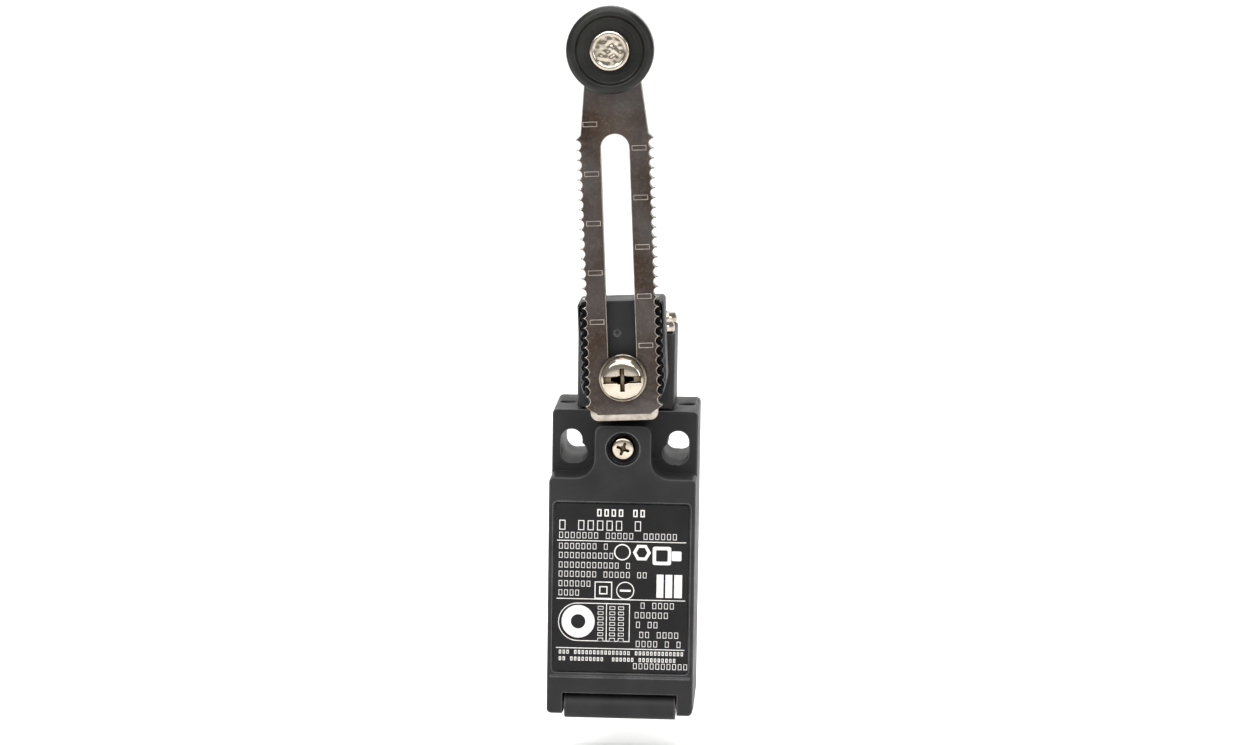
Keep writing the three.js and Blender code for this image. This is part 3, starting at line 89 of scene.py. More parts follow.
Tree = bpy.types.NodeTree
Node = bpy.types.Node
Socket = bpy.types.NodeSocket
Piece = bpy.types.Object


# ---------------------------------------------------------------- names that the frame knows
class Body(str, Enum):
    """The bodies that pieces ride on."""

    CASE = "case"
    COVER = "cover"
    SHAFT = "shaft"
    LEVER = "lever"
    ROLLER = "roller"
    PLUNGER = "head_plunger"
    CONTACTS = "contacts"


class Slot(str, Enum):
    """The record's material slots."""

    BLACK_RESIN = "black_resin"
    GREY_RESIN = "grey_resin"
    ROLLER_RESIN = "roller_resin"
    SEAL_RUBBER = "seal_rubber"
    LABEL_FILM = "label_film"
    LEVER_STEEL = "lever_steel"
    BRIGHT_NICKEL = "bright_nickel"
    PLAIN_STEEL = "plain_steel"
    SPRING_STEEL = "spring_steel"
    BRONZE = "bronze"
    BRASS = "brass"


class Recess(Enum):
    """Driver recesses of the screws."""

    CROSS = "cross"
    SLOTTED_CROSS = "slotted cross"


# ---------------------------------------------------------------- node trees
def linear(code: str) -> tuple[float, float, float, float]:
    """Turn an sRGB hex colour to linear.

    Args:
        code: The colour as "#rrggbb".

    Returns:
        Linear red, green, blue and an alpha of 1.
    """
    parts = [int(code[i : i + 2], 16) / 255 for i in (1, 3, 5)]
    red, green, blue = (c / 12.92 if c <= 0.04045 else ((c + 0.055) / 1.055) ** 2.4 for c in parts)
    return red, green, blue, 1.0


def add_node(tree: Tree, kind: str, inputs: dict | None = None, **settings: object) -> Node:
    """Add a node with its settings, values and links.

    Args:
        tree: The tree that gets the node.
        kind: The node's type.
        inputs: Values or sockets by the input's name or number.
        **settings: The node's own properties.

    Returns:
        The new node.
    """
    node = tree.nodes.new(kind)
    for key, value in settings.items():
        setattr(node, key, value)
    for key, value in (inputs or {}).items():
        if isinstance(value, Socket):
            tree.links.new(value, node.inputs[key])
        else:
            node.inputs[key].default_value = value
    return node


def ranged(tree: Tree, value: Socket, source: Point, target: Point = (0.0, 1.0)) -> Socket:
    """Map one range of a value to another, and hold it at the ends.

    Args:
        tree: The tree that gets the node.
        value: The value.
        source: The value's two ends.
        target: What they become.

    Returns:
        The mapped value.
    """
    ends = {"From Min": source[0], "From Max": source[1], "To Min": target[0], "To Max": target[1]}
    return add_node(tree, "ShaderNodeMapRange", {0: value, **ends}).outputs[0]


def mixed(tree: Tree, share: Socket, one: object, other: object) -> Socket:
    """Return a mix that runs from one colour to another with a share."""
    return add_node(tree, "ShaderNodeMix", {0: share, 6: one, 7: other}, data_type="RGBA").outputs[2]


def clouds(tree: Tree, where: Socket, size: float, detail: float, roughness: float = 0.5) -> Socket:
    """Return a noise whose clouds are about as wide as a size in millimetres."""
    look = {"Vector": where, "Scale": 1 / size, "Detail": detail, "Roughness": roughness}
    return add_node(tree, "ShaderNodeTexNoise", look).outputs[0]


@dataclass(frozen=True)
class Finish:
    """A material: what it is made of and how its surface was left.

    Attributes:
        name: The material's common name.
        colour: Its main colour in sRGB hex.
        shade: The second colour that its mottle runs to.
        roughness: Mean roughness.
        spread: How far the roughness runs to each side.
        metallic: 1 for a metal.
        grain_mm: Size of the surface's grain.
        grain_height_mm: Height of the grain.
        mottle_mm: Size of the clouds in its colour.
        edge_wear_and_highlight: Colour of the lightened edges, which stands for rubbed wear and a painted
            edge highlight.
        edge_wear_and_highlight_mm: Width of the lightened edges, or 0.
        edge_wear_and_highlight_share: How fully they are lightened.
        specular: Strength of the skin's reflection; 0.5 is a plain resin's.
        crevice_mm: Width of the narrow corners that get painted shade, or 0.
        slot: The record's slot for it; it is not used.
    """

    name: str
    colour: str
    shade: str
    roughness: float
    spread: float = 0.06
    metallic: float = 0.0
    grain_mm: float = 0.3
    grain_height_mm: float = 0.008
    mottle_mm: float = 7.0
    edge_wear_and_highlight: str = "#808080"
    edge_wear_and_highlight_mm: float = 0.0
    edge_wear_and_highlight_share: float = 0.5
    specular: float = 0.5
    crevice_mm: float = 0.0
    slot: Slot | None = None

    def material(self) -> bpy.types.Material:
        """Build the material once and return it."""
        found = bpy.data.materials.get(self.name)
        if found:
            return found
        made = bpy.data.materials.new(self.name)
        made.use_nodes = True
        tree = made.node_tree
        tree.nodes.clear()
        place = add_node(tree, "ShaderNodeTexCoord")
        scale = {0: place.outputs["Object"], "Scale": 1 / MM}
        where = add_node(tree, "ShaderNodeVectorMath", scale, operation="SCALE").outputs[0]
        shader = add_node(tree, "ShaderNodeBsdfPrincipled", {
            "Metallic": self.metallic, "Specular IOR Level": self.specular,
        })
        self.dress(tree, shader, where)
        add_node(tree, "ShaderNodeOutputMaterial", {"Surface": shader.outputs[0]})
        made.diffuse_color = linear(self.colour)
        return made

    def dress(self, tree: Tree, shader: Node, where: Socket) -> None:
        """Link the colour, roughness and grain.

        Args:
            tree: The material's tree.
            shader: Its surface shader.
            where: The place on the piece, in millimetres.
        """
        cloud = clouds(tree, where, self.mottle_mm, 4.0)
        colour = mixed(tree, ranged(tree, cloud, (0.35, 0.65)), linear(self.colour), linear(self.shade))
        # Lightened edges: rubbed wear and a painted edge highlight.
        if self.edge_wear_and_highlight_mm:
            colour = self.lighten_edges(tree, colour, cloud)
        # Narrow corners get painted shade.
        if self.crevice_mm:
            colour = self.paint_crevice_shade(tree, colour)
        rough = ranged(tree, cloud, (0.3, 0.7), (self.roughness - self.spread, self.roughness + self.spread))
        bump = add_node(tree, "ShaderNodeBump", {
            "Height": self.grain(tree, where), "Distance": self.grain_height_mm * MM, "Strength": 1.0,
        })
        for name, socket in (("Base Color", colour), ("Roughness", rough), ("Normal", bump.outputs[0])):
            tree.links.new(socket, shader.inputs[name])

    def grain(self, tree: Tree, where: Socket) -> Socket:
        """Return the height of the surface's grain, from 0 to 1."""
        return clouds(tree, where, self.grain_mm, 2.0, 0.6)

    def lighten_edges(self, tree: Tree, colour: Socket, cloud: Socket) -> Socket:
        """Lighten the edges, which stands for rubbed wear and a painted edge highlight.

        Args:
            tree: The material's tree.
            colour: The colour away from the edges.
            cloud: A noise that breaks the lightened line.

        Returns:
            The colour with its edges lightened.
        """
        soft = add_node(tree, "ShaderNodeBevel", {"Radius": self.edge_wear_and_highlight_mm * MM}, samples=4)
        true = add_node(tree, "ShaderNodeNewGeometry")
        both = {0: soft.outputs[0], 1: true.outputs["Normal"]}
        turn = add_node(tree, "ShaderNodeVectorMath", both, operation="DOT_PRODUCT")
        edge = ranged(tree, turn.outputs["Value"], (0.99, 0.86), (0.0, self.edge_wear_and_highlight_share))
        broken = add_node(tree, "ShaderNodeMath", {0: edge, 1: cloud}, operation="MULTIPLY", use_clamp=True)
        return mixed(tree, broken.outputs[0], colour, linear(self.edge_wear_and_highlight))

    def paint_crevice_shade(self, tree: Tree, colour: Socket) -> Socket:
        """Paint shade into the narrow corners, darker where the ambient occlusion is deeper, and return the
        colour.
        """
        near = add_node(tree, "ShaderNodeAmbientOcclusion", {"Distance": self.crevice_mm * MM}, samples=6)
        return mixed(tree, ranged(tree, near.outputs["AO"], (0.5, 1.0)), linear(CREVICE_SHADE_COLOUR), colour)


@dataclass(frozen=True)
class SparkTextured(Finish):
    """Resin moulded against a spark-eroded tool, which leaves it covered in fine, even pits."""

    def grain(self, tree: Tree, where: Socket) -> Socket:
        """Return the height of the pitted surface, from 0 to 1."""
        cells = {"Vector": where, "Scale": 1 / self.grain_mm}
        pits = add_node(tree, "ShaderNodeTexVoronoi", cells, feature="SMOOTH_F1").outputs["Distance"]
        both = {0: pits, 1: clouds(tree, where, self.grain_mm / 2, 1.0)}
        return add_node(tree, "ShaderNodeMath", both, operation="MULTIPLY").outputs[0]


@dataclass(frozen=True)
class DrawnMetal(Finish):
    """Metal with fine lines along one axis, from drawing, rolling or brushing.

    Attributes:
        stretch: How many times longer the lines are along each axis.
    """

    stretch: tuple[float, float, float] = (1.0, 1.0, 14.0)

    def grain(self, tree: Tree, where: Socket) -> Socket:
        """Return the height of the drawn lines, from 0 to 1."""
        drawn = add_node(tree, "ShaderNodeVectorMath", {0: where, 1: self.stretch}, operation="DIVIDE")
        return clouds(tree, drawn.outputs[0], self.grain_mm, 3.0, 0.65)


@dataclass(frozen=True)
class TumbledSteel(Finish):
    """Stamped steel, tumbled and browned: a satin skin with dark and bright specks.

    Attributes:
        speck: Colour of the specks where the skin is rubbed bright.
        speck_mm: Distance between the specks.
    """

    speck: str = "#6b625b"
    speck_mm: float = 0.55

    def dress(self, tree: Tree, shader: Node, where: Socket) -> None:
        """Link the base finish and then scatter the bright specks over its colour."""
        super().dress(tree, shader, where)
        below = shader.inputs["Base Color"].links[0].from_socket
        share = ranged(tree, clouds(tree, where, self.speck_mm, 6.0, 0.8), (0.5, 0.72), (0.0, 0.55))
        tree.links.new(mixed(tree, share, below, linear(self.speck)), shader.inputs["Base Color"])


# Colour of the painted shade in narrow corners.
CREVICE_SHADE_COLOUR = "#40321f"
# Glass-filled PBT from a spark-eroded tool: satin black, with greyer edges from rubbed wear and a painted
# edge highlight.
BLACK_PBT = SparkTextured(
    "moulded black PBT", "#1e1d1e", "#252425", 0.46, grain_mm=0.28, grain_height_mm=0.02,
    edge_wear_and_highlight="#8f8e90", edge_wear_and_highlight_mm=0.4, edge_wear_and_highlight_share=0.95, specular=0.17, slot=Slot.BLACK_RESIN,
)
# Nylon of the roller, turned smooth after moulding, its edges lightened by rubbed wear and a painted edge
# highlight.
ROLLER_NYLON = Finish(
    "turned black nylon", "#161614", "#1f1f1c", 0.36, grain_mm=0.35, grain_height_mm=0.004,
    edge_wear_and_highlight="#7c7c75", edge_wear_and_highlight_mm=0.3, edge_wear_and_highlight_share=0.6, specular=0.2, slot=Slot.ROLLER_RESIN,
)
# Phenolic-like grey resin of the built-in switch: fine and fairly dull.
GREY_PBT = SparkTextured(
    "moulded grey PBT", "#85817c", "#918d88", 0.5, grain_mm=0.3, grain_height_mm=0.014,
    slot=Slot.GREY_RESIN,
)
# Nitrile seals: black, dull and a little dusty.
NITRILE = Finish(
    "nitrile rubber", "#171717", "#222222", 0.78, grain_mm=0.25, grain_height_mm=0.012,
    slot=Slot.SEAL_RUBBER,
)
# Polyester film with a fine matt coating, which keeps the print from glaring.
LABEL_FILM = Finish(
    "matt polyester film", "#131213", "#191819", 0.4, spread=0.04, grain_mm=0.12, grain_height_mm=0.002,
    specular=0.15, slot=Slot.LABEL_FILM,
)
# Screen-printed ink: slightly uneven off-white.
PRINT_INK = Finish(
    "screen printed ink", "#d6d4d0", "#bfbdb9", 0.55, mottle_mm=0.8, grain_mm=0.1, grain_height_mm=0.002,
    slot=Slot.LABEL_FILM,
)
# Carbon steel, blanked, tumbled and browned with oil; its edges are lightened by rubbed wear and a painted
# edge highlight.
LEVER_STEEL = TumbledSteel(
    "browned carbon steel", "#3f342e", "#4f4a48", 0.38, metallic=1.0, grain_mm=0.22, grain_height_mm=0.006,
    mottle_mm=9.0, edge_wear_and_highlight="#b9b0a6", edge_wear_and_highlight_mm=0.3, edge_wear_and_highlight_share=0.9, slot=Slot.LEVER_STEEL,
)
# Bare metal of the stamped marks' raised edges; on the lever's sloping front rims it is a painted highlight
# along with rubbed metal.
BARE_STEEL_AND_RIM_HIGHLIGHT = Finish(
    "burnished steel", "#b3aaa0", "#8f867d", 0.32, metallic=1.0, grain_mm=0.15, grain_height_mm=0.003,
    mottle_mm=1.5, slot=Slot.LEVER_STEEL,
)
# Bright nickel over turned steel: nearly a mirror, warm, with fine handling marks and painted shade in its
# narrow recesses.
NICKEL = DrawnMetal(
    "nickel plated steel", "#c9bfb0", "#b5aa9a", 0.15, spread=0.05, metallic=1.0, grain_mm=0.12,
    grain_height_mm=0.0012, mottle_mm=2.5, stretch=(1.0, 9.0, 1.0), crevice_mm=1.6,
    slot=Slot.BRIGHT_NICKEL,
)
# Ground shaft steel.
GROUND_STEEL = DrawnMetal(
    "ground steel", "#a9a6a1", "#b7b4ae", 0.28, metallic=1.0, grain_mm=0.15, grain_height_mm=0.002,
    stretch=(6.0, 1.0, 6.0), slot=Slot.PLAIN_STEEL,
)
# Patented spring wire, drawn to size.
SPRING_WIRE = DrawnMetal(
    "drawn spring steel", "#8a8885", "#9a9894", 0.3, metallic=1.0, grain_mm=0.1, grain_height_mm=0.001,
    slot=Slot.SPRING_STEEL,
)
# Sintered, oil-filled bronze: a dull, porous yellow-brown.
BRONZE = Finish(
    "sintered bronze", "#8f6d44", "#9f7c51", 0.48, metallic=1.0, grain_mm=0.14, grain_height_mm=0.012,
    slot=Slot.BRONZE,
)
# Rolled brass strip with a light tarnish.
BRASS = DrawnMetal(
    "rolled brass", "#bd9a55", "#a98746", 0.3, metallic=1.0, grain_mm=0.16, grain_height_mm=0.002,
    stretch=(8.0, 1.0, 1.0), slot=Slot.BRASS,
)
# Painted studio floor: plain, pale and matt.
FLOOR_PAINT = Finish("matt white paint", "#f4f4f3", "#f1f1f0", 0.8, spread=0.03, grain_height_mm=0.0)


# ---------------------------------------------------------------- boxes of the frame
@dataclass(frozen=True)
class Box:
    """A CAD node's box, in millimetres."""

    low: Vector
    high: Vector

    @classmethod
    def of(cls, node: str) -> "Box":
        """Return a node's box."""
        low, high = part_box(node)
        return cls(low / MM, high / MM)

    @property
    def centre(self) -> Vector:
        """The middle of the box."""
        return (self.low + self.high) / 2

    @property
    def size(self) -> Vector:
        """Its three sides."""
        return self.high - self.low


# ---------------------------------------------------------------- outlines
def arc(centre: Point, radius: float, start: float, end: float, steps: int = 8) -> list[Point]:
    """Return the points of an arc, in degrees, ends included."""
    x, z = centre
    angles = [math.radians(start + (end - start) * i / steps) for i in range(steps + 1)]
    return [(x + radius * math.cos(a), z + radius * math.sin(a)) for a in angles]


def filleted(points: Sequence[Point], radius: float, steps: int = 3, closed: bool = False) -> list[Point]:
    """Round the corners of a line.

    Args:
        points: The line's corners.
        radius: How far from each corner the rounding starts, at most.
        steps: Straight stretches in each rounded corner.
        closed: Whether the last point joins the first.

    Returns:
        The points of the rounded line.
    """
    made: list[Point] = []
    count = len(points)
    for i, corner in enumerate(points):
        if not closed and i in (0, count - 1):
            made.append(corner)
            continue
        here = Vector(corner)
        before, after = Vector(points[i - 1]) - here, Vector(points[(i + 1) % count]) - here
        reach = min(radius, 0.45 * before.length, 0.45 * after.length)
        first, last = here + before.normalized() * reach, here + after.normalized() * reach
        for k in range(steps + 1):
            t = k / steps
            made.append(tuple(first * (1 - t) ** 2 + here * 2 * t * (1 - t) + last * t * t))
    return made


def rectangle(low: Point, high: Point, radius: float = 0.0, steps: int = 4) -> list[Point]:
    """Return a rectangle's outline, counter-clockwise, with round corners if it has a radius."""
    corners = [low, (high[0], low[1]), high, (low[0], high[1])]
    return filleted(corners, radius, steps, closed=True) if radius else corners


def upright_slot(x: float, low: float, high: float, radius: float) -> list[Point]:
    """Return the outline of an upright slot with round ends between two centres."""
    return arc((x, high), radius, 0, 180, 16) + arc((x, low), radius, 180, 360, 16)


def signed_area(loop: Sequence[Point]) -> float:
    """Return twice a loop's area, positive if it runs counter-clockwise."""
    return sum(a[0] * b[1] - b[0] * a[1] for a, b in zip(loop, [*loop[1:], loop[0]]))


def shrunk(loop: Sequence[Point], inset: float) -> list[Point]:
    """Move a loop's points to its left by an inset, with mitred corners."""
    moved = []
    count = len(loop)
    for i, here in enumerate(loop):
        p = Vector(here)
        a = (p - Vector(loop[i - 1])).normalized()
        b = (Vector(loop[(i + 1) % count]) - p).normalized()
        left_a, left_b = Vector((-a.y, a.x)), Vector((-b.y, b.x))
        middle = left_a + left_b
        if middle.length < 1e-6:
            middle = left_a
        middle.normalize()
        moved.append(tuple(p + middle * min(inset / max(middle.dot(left_a), 0.35), 2.5 * abs(inset))))
    return moved


# ---------------------------------------------------------------- solids
def plate(loops: Sequence[Sequence[Point]], layers: Sequence[tuple[float, float]]) -> Solid:
    """Make a closed plate whose outline lies in X and Z.

    Args:
        loops: The outer outline, and then the outlines of its holes.
        layers: The distance along Y and the inset of each layer, from back to front.

    Returns:
        The plate.
    """
    solid = bmesh.new()
    rims: tuple[list, list] = ([], [])
    for index, loop in enumerate(loops):
        outer = index == 0
        turned_right = (signed_area(loop) > 0) == outer
        points = list(loop) if turned_right else list(reversed(loop))
        rings = [[solid.verts.new((x, y, z)) for x, z in shrunk(points, inset)] for y, inset in layers]
        for back, front in zip(rings, rings[1:]):
            for i in range(len(points)):
                j = (i + 1) % len(points)
                solid.faces.new((back[i], back[j], front[j], front[i]))
        for rim, ring in zip(rims, (rings[0], rings[-1])):
            for i, vert in enumerate(ring):
                rim.append(solid.edges.get((vert, ring[(i + 1) % len(ring)])))
    for rim in rims:
        bmesh.ops.triangle_fill(solid, edges=rim, use_beauty=True)
    bmesh.ops.recalc_face_normals(solid, faces=solid.faces)
    return solid


def rounded_layers(back: float, front: float, edge: float, steps: int = 2) -> list[tuple[float, float]]:
    """Return the layers of a plate whose edges are rounded, from its back to its front."""
    quarter = [math.radians(90 * k / steps) for k in range(steps + 1)]
    sign = 1 if front > back else -1
    rise = [(edge * (1 - math.sin(q)), edge * (1 - math.cos(q))) for q in reversed(quarter)]
    lower = [(back + sign * d, i) for d, i in rise]
    upper = [(front - sign * d, i) for d, i in reversed(rise)]
    return [(y, i) for y, i in sorted(lower, key=lambda p: sign * p[0])] + upper


def turned(profile: Sequence[Point], segments: int = 64, ring: bool = False) -> Solid:
    """Turn a profile of radius and distance round the Y axis.

    Args:
        profile: The profile's points. They start and end on the axis, unless it is a ring.
        segments: Stretches in a full turn.
        ring: Whether the profile is a closed loop clear of the axis.

    Returns:
        The turned solid.
    """
    solid = bmesh.new()
    angles = [2 * math.pi * i / segments for i in range(segments)]
    rows = []
    for radius, t in profile:
        if radius < 1e-7:
            rows.append([solid.verts.new((0, t, 0))])
        else:
            rows.append([solid.verts.new((radius * math.cos(a), t, radius * math.sin(a))) for a in angles])
    pairs = list(zip(rows, rows[1:])) + ([(rows[-1], rows[0])] if ring else [])
    for one, two in pairs:
        for i in range(segments):
            j = (i + 1) % segments
            corners = [one[i % len(one)], one[j % len(one)], two[j % len(two)], two[i % len(two)]]
            unique = list(dict.fromkeys(corners))
            if len(unique) > 2:
                solid.faces.new(unique)
    bmesh.ops.recalc_face_normals(solid, faces=solid.faces)
    return solid


def rod(radius: float, start: float, end: float, segments: int) -> Solid:
    """Return a plain rod along Y."""
    return turned([(0, start), (radius, start), (radius, end), (0, end)], segments)


def flat_ring(inner: float, box: Box, corner: float, steps: int, segments: int) -> Solid:
    """Turn a flat washer round the Y axis.

    Args:
        inner: Radius of its hole.
        box: The box that it fills.
        corner: How far its corners are rounded.
        steps: Straight stretches in each rounded corner.
        segments: Stretches in a full turn.

    Returns:
        The washer.
    """
    outer = box.size.x / 2
    section = [(inner, box.high.y), (outer, box.high.y), (outer, box.low.y), (inner, box.low.y)]
    return turned(filleted(section, corner, steps, True), segments, True)


def threaded(
    radius: float, depth: float, pitch: float, start: float, end: float, segments: int = 40
) -> Solid:
    """Make a rod along Y with a helical V thread.

    Args:
        radius: The thread's core radius.
        depth: The thread's height over the core.
        pitch: The thread's pitch.
        start: Where the rod starts.
        end: Where it ends.
        segments: Stretches in a full turn.

    Returns:
        The threaded rod.
    """
    solid = bmesh.new()
    levels = max(2, round(abs(end - start) / pitch * 6))
    rows = []
    for k in range(levels + 1):
        y = start + (end - start) * k / levels
        row = []
        for i in range(segments):
            phase = (y / pitch + i / segments) % 1
            height = min(1.0, max(0.0, 1.25 - abs(phase - 0.5) * 2.8))
            reach = radius + depth * (0.0 if k in (0, levels) else height)
            angle = 2 * math.pi * i / segments
            row.append(solid.verts.new((reach * math.cos(angle), y, reach * math.sin(angle))))
        rows.append(row)
    for one, two in zip(rows, rows[1:]):
        for i in range(segments):
            j = (i + 1) % segments
            solid.faces.new((one[i], one[j], two[j], two[i]))
    solid.faces.new(rows[0])
    solid.faces.new(rows[-1])
    bmesh.ops.recalc_face_normals(solid, faces=solid.faces)
    return solid


def tapered(low: Point, high: Point, y0: float, y1: float, taper: float) -> Solid:
    """Make a block from y0 to y1 whose far end is drawn in on each side by a taper."""
    solid = bmesh.new()
    near = [solid.verts.new((x, y0, z)) for x, z in rectangle(low, high)]
    ends = rectangle((low[0] + taper, low[1] + taper), (high[0] - taper, high[1] - taper))
    far = [solid.verts.new((x, y1, z)) for x, z in ends]
    solid.faces.new(near)
    solid.faces.new(far)
    for i in range(4):
        solid.faces.new((near[i], near[(i + 1) % 4], far[(i + 1) % 4], far[i]))
    bmesh.ops.recalc_face_normals(solid, faces=solid.faces)
    return solid


def block(low: Sequence[float], high: Sequence[float]) -> Solid:
    """Make a block between two corners."""
    return tapered((low[0], low[2]), (high[0], high[2]), low[1], high[1], 0.0)


def moved(solid: Solid, matrix: Matrix) -> Solid:
    """Move a solid by a matrix in millimetres and return it."""
    bmesh.ops.transform(solid, matrix=matrix, verts=solid.verts)
    return solid


def joined(solids: Iterable[Solid]) -> Solid:
    """Put separate solids into one mesh, without a boolean."""
    whole = bmesh.new()
    for solid in solids:
        part = bpy.data.meshes.new("part")
        solid.to_mesh(part)
        whole.from_mesh(part)
        solid.free()
        bpy.data.meshes.remove(part)
    return whole


def in_millimetres(mesh: bpy.types.Mesh) -> Solid:
    """Return a copy of a mesh in metres as a solid in millimetres."""
    solid = bmesh.new()
    solid.from_mesh(mesh)
    bmesh.ops.scale(solid, vec=(1 / MM,) * 3, verts=solid.verts)
    return solid


def as_object(name: str, solid: Solid) -> Piece:
    """Write a solid, in millimetres, to a new object in metres."""
    bmesh.ops.scale(solid, vec=(MM, MM, MM), verts=solid.verts)
    mesh = bpy.data.meshes.new(name)
    solid.to_mesh(mesh)
    solid.free()
    piece = bpy.data.objects.new(name, mesh)
    bpy.context.scene.collection.objects.link(piece)
    return piece


def made_plain(piece: Piece) -> Piece:
    """Turn a piece with modifiers to a plain mesh, and return it."""
    bpy.context.view_layer.update()
    graph = bpy.context.evaluated_depsgraph_get()
    mesh = bpy.data.meshes.new_from_object(piece.evaluated_get(graph), depsgraph=graph)
    piece.modifiers.clear()
    old, piece.data = piece.data, mesh
    mesh.name = piece.name
    bpy.data.meshes.remove(old)
    return piece


def cut(name: str, solid: Solid, cutters: Sequence[Solid]) -> Solid:
    """Cut solids out of a solid.

    Args:
        name: A name for the work.
        solid: The solid that is cut.
        cutters: The solids that cut it.

    Returns:
        The cut solid, in millimetres.
    """
    piece = as_object(name, solid)
    tools = [as_object(f"{name}_tool_{i}", cutter) for i, cutter in enumerate(cutters)]
    for tool in tools:
        boolean = piece.modifiers.new(tool.name, "BOOLEAN")
        boolean.object = tool
        boolean.operation = "DIFFERENCE"
        boolean.solver = "EXACT"
    made_plain(piece)
    for tool in tools:
        bpy.data.meshes.remove(tool.data)
    result = in_millimetres(piece.data)
    bpy.data.meshes.remove(piece.data)
    bmesh.ops.remove_doubles(result, verts=result.verts, dist=1e-4)
    return result


def softened(
    solid: Solid, width: float, segments: int = 2, angle: float = 45.0,
    chosen: Callable[[Vector], bool] | None = None,
) -> Solid:
    """Round a solid's sharp edges.

    Args:
        solid: The solid, in millimetres.
        width: How far the rounding reaches from each edge.
        segments: Stretches across the rounding.
        angle: The smallest turn, in degrees, that counts as sharp.
        chosen: Tells from an edge's middle whether it is rounded.

    Returns:
        The same solid.
    """
    limit = math.radians(angle)
    edges = [
        e for e in solid.edges
        if len(e.link_faces) == 2 and e.calc_face_angle(0) > limit
        and (chosen is None or chosen((e.verts[0].co + e.verts[1].co) / 2))
    ]
    bmesh.ops.bevel(
        solid, geom=edges, offset=width, segments=segments, profile=0.5, affect="EDGES",
        clamp_overlap=False, material=-1,
    )
    return solid


def node_solid(node: str) -> Solid:
    """Return a copy of a CAD node as one clean solid in millimetres, its flat faces whole."""
    solid = in_millimetres(bpy.data.objects[node].data)
    bmesh.ops.remove_doubles(solid, verts=solid.verts, dist=1e-3)
    bmesh.ops.dissolve_limit(
        solid, angle_limit=math.radians(0.8), verts=solid.verts, edges=solid.edges,
        use_dissolve_boundaries=False,
    )
    bmesh.ops.recalc_face_normals(solid, faces=solid.faces)
    return solid


@dataclass
class Fitted:
    """How a piece is fitted to the frame.

    Attributes:
        body: The body that it rides on.
        finish: Its finish.
        nodes: The CAD nodes that it stands for.
    """

    body: Body
    finish: Finish
    nodes: Sequence[str] = ()

    def fit(self, name: str, solid: Solid, sharp: float = 32.0) -> Piece:
        """Write a solid as a piece, and give it its finish and its place in the frame.

        Args:
            name: The piece's name.
            solid: The solid, in millimetres.
            sharp: The turn, in degrees, above which an edge is shaded sharp.

        Returns:
            The piece.
        """
        return self.take(as_object(name, solid), sharp)

    def copy(self, name: str, width: float, segments: int = 2, angle: float = 45.0) -> Piece:
        """Fit a copy of the CAD node.

        Args:
            name: The piece's name.
            width: How far the rounding reaches from each sharp edge, in millimetres.
            segments: Stretches across the rounding.
            angle: The smallest turn, in degrees, that counts as sharp.

        Returns:
            The piece.
        """
        return self.fit(name, softened(node_solid(self.nodes[0]), width, segments, angle))

    def take(self, piece: Piece, sharp: float = 32.0) -> Piece:
        """Give a made piece its finish and its place in the frame, and return it."""
        piece.data.materials.clear()
        piece.data.materials.append(self.finish.material())
        piece.data.shade_smooth()
        piece.data.set_sharp_from_angle(angle=math.radians(sharp))
        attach(piece, self.body.value)
        if self.nodes:
            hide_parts(*self.nodes)
        LOG.info("%s: %d faces on %s", piece.name, len(piece.data.polygons), self.body.value)
        return piece


# ---------------------------------------------------------------- geometry nodes
class Grower:
    """A Geometry Nodes tree with named inputs, whose result is written as a plain mesh."""

    def __init__(self, name: str, inputs: dict[str, str]) -> None:
        """Start the tree.

        Args:
            name: The tree's name.
            inputs: What kind each named input is. A material is added to them.
        """
        self.tree = bpy.data.node_groups.new(name, "GeometryNodeTree")
        sockets = self.tree.interface
        sockets.new_socket("Geometry", in_out="INPUT", socket_type="NodeSocketGeometry")
        for label, kind in {**inputs, "Material": "Material"}.items():
            sockets.new_socket(label, in_out="INPUT", socket_type=f"NodeSocket{kind}")
        sockets.new_socket("Geometry", in_out="OUTPUT", socket_type="NodeSocketGeometry")
        self.given = add_node(self.tree, "NodeGroupInput").outputs
        self.build()

    def build(self) -> None:
        """Add the tree's nodes; each kind of tree has its own."""
        raise NotImplementedError

    def add(self, kind: str, inputs: dict | None = None, **settings: object) -> Node:
        """Add a node to the tree.

        Args:
            kind: The node's type.
            inputs: Values, sockets or names of the tree's inputs, by the input's name or number.
            **settings: The node's own properties.

        Returns:
            The new node.
        """
        found = {k: self.given[v] if isinstance(v, str) else v for k, v in (inputs or {}).items()}
        return add_node(self.tree, kind, found, **settings)

    def close(self, grown: Socket) -> None:
        """End the tree: its instances made real and its material set."""
        real = self.add("GeometryNodeRealizeInstances", {0: grown})
        painted = self.add("GeometryNodeSetMaterial", {"Geometry": real.outputs[0], "Material": "Material"})
        self.add("NodeGroupOutput", {0: painted.outputs[0]})

    def grow(self, name: str, values: dict[str, object]) -> Piece:
        """Run the tree with its inputs set, and return the result as a plain mesh."""
        piece = bpy.data.objects.new(name, bpy.data.meshes.new(name))
        bpy.context.scene.collection.objects.link(piece)
        modifier = piece.modifiers.new(self.tree.name, "NODES")
        modifier.node_group = self.tree
        for item in self.tree.interface.items_tree:
            if item.in_out == "INPUT" and item.name in values:
                modifier[item.identifier] = values[item.name]
        return made_plain(piece)


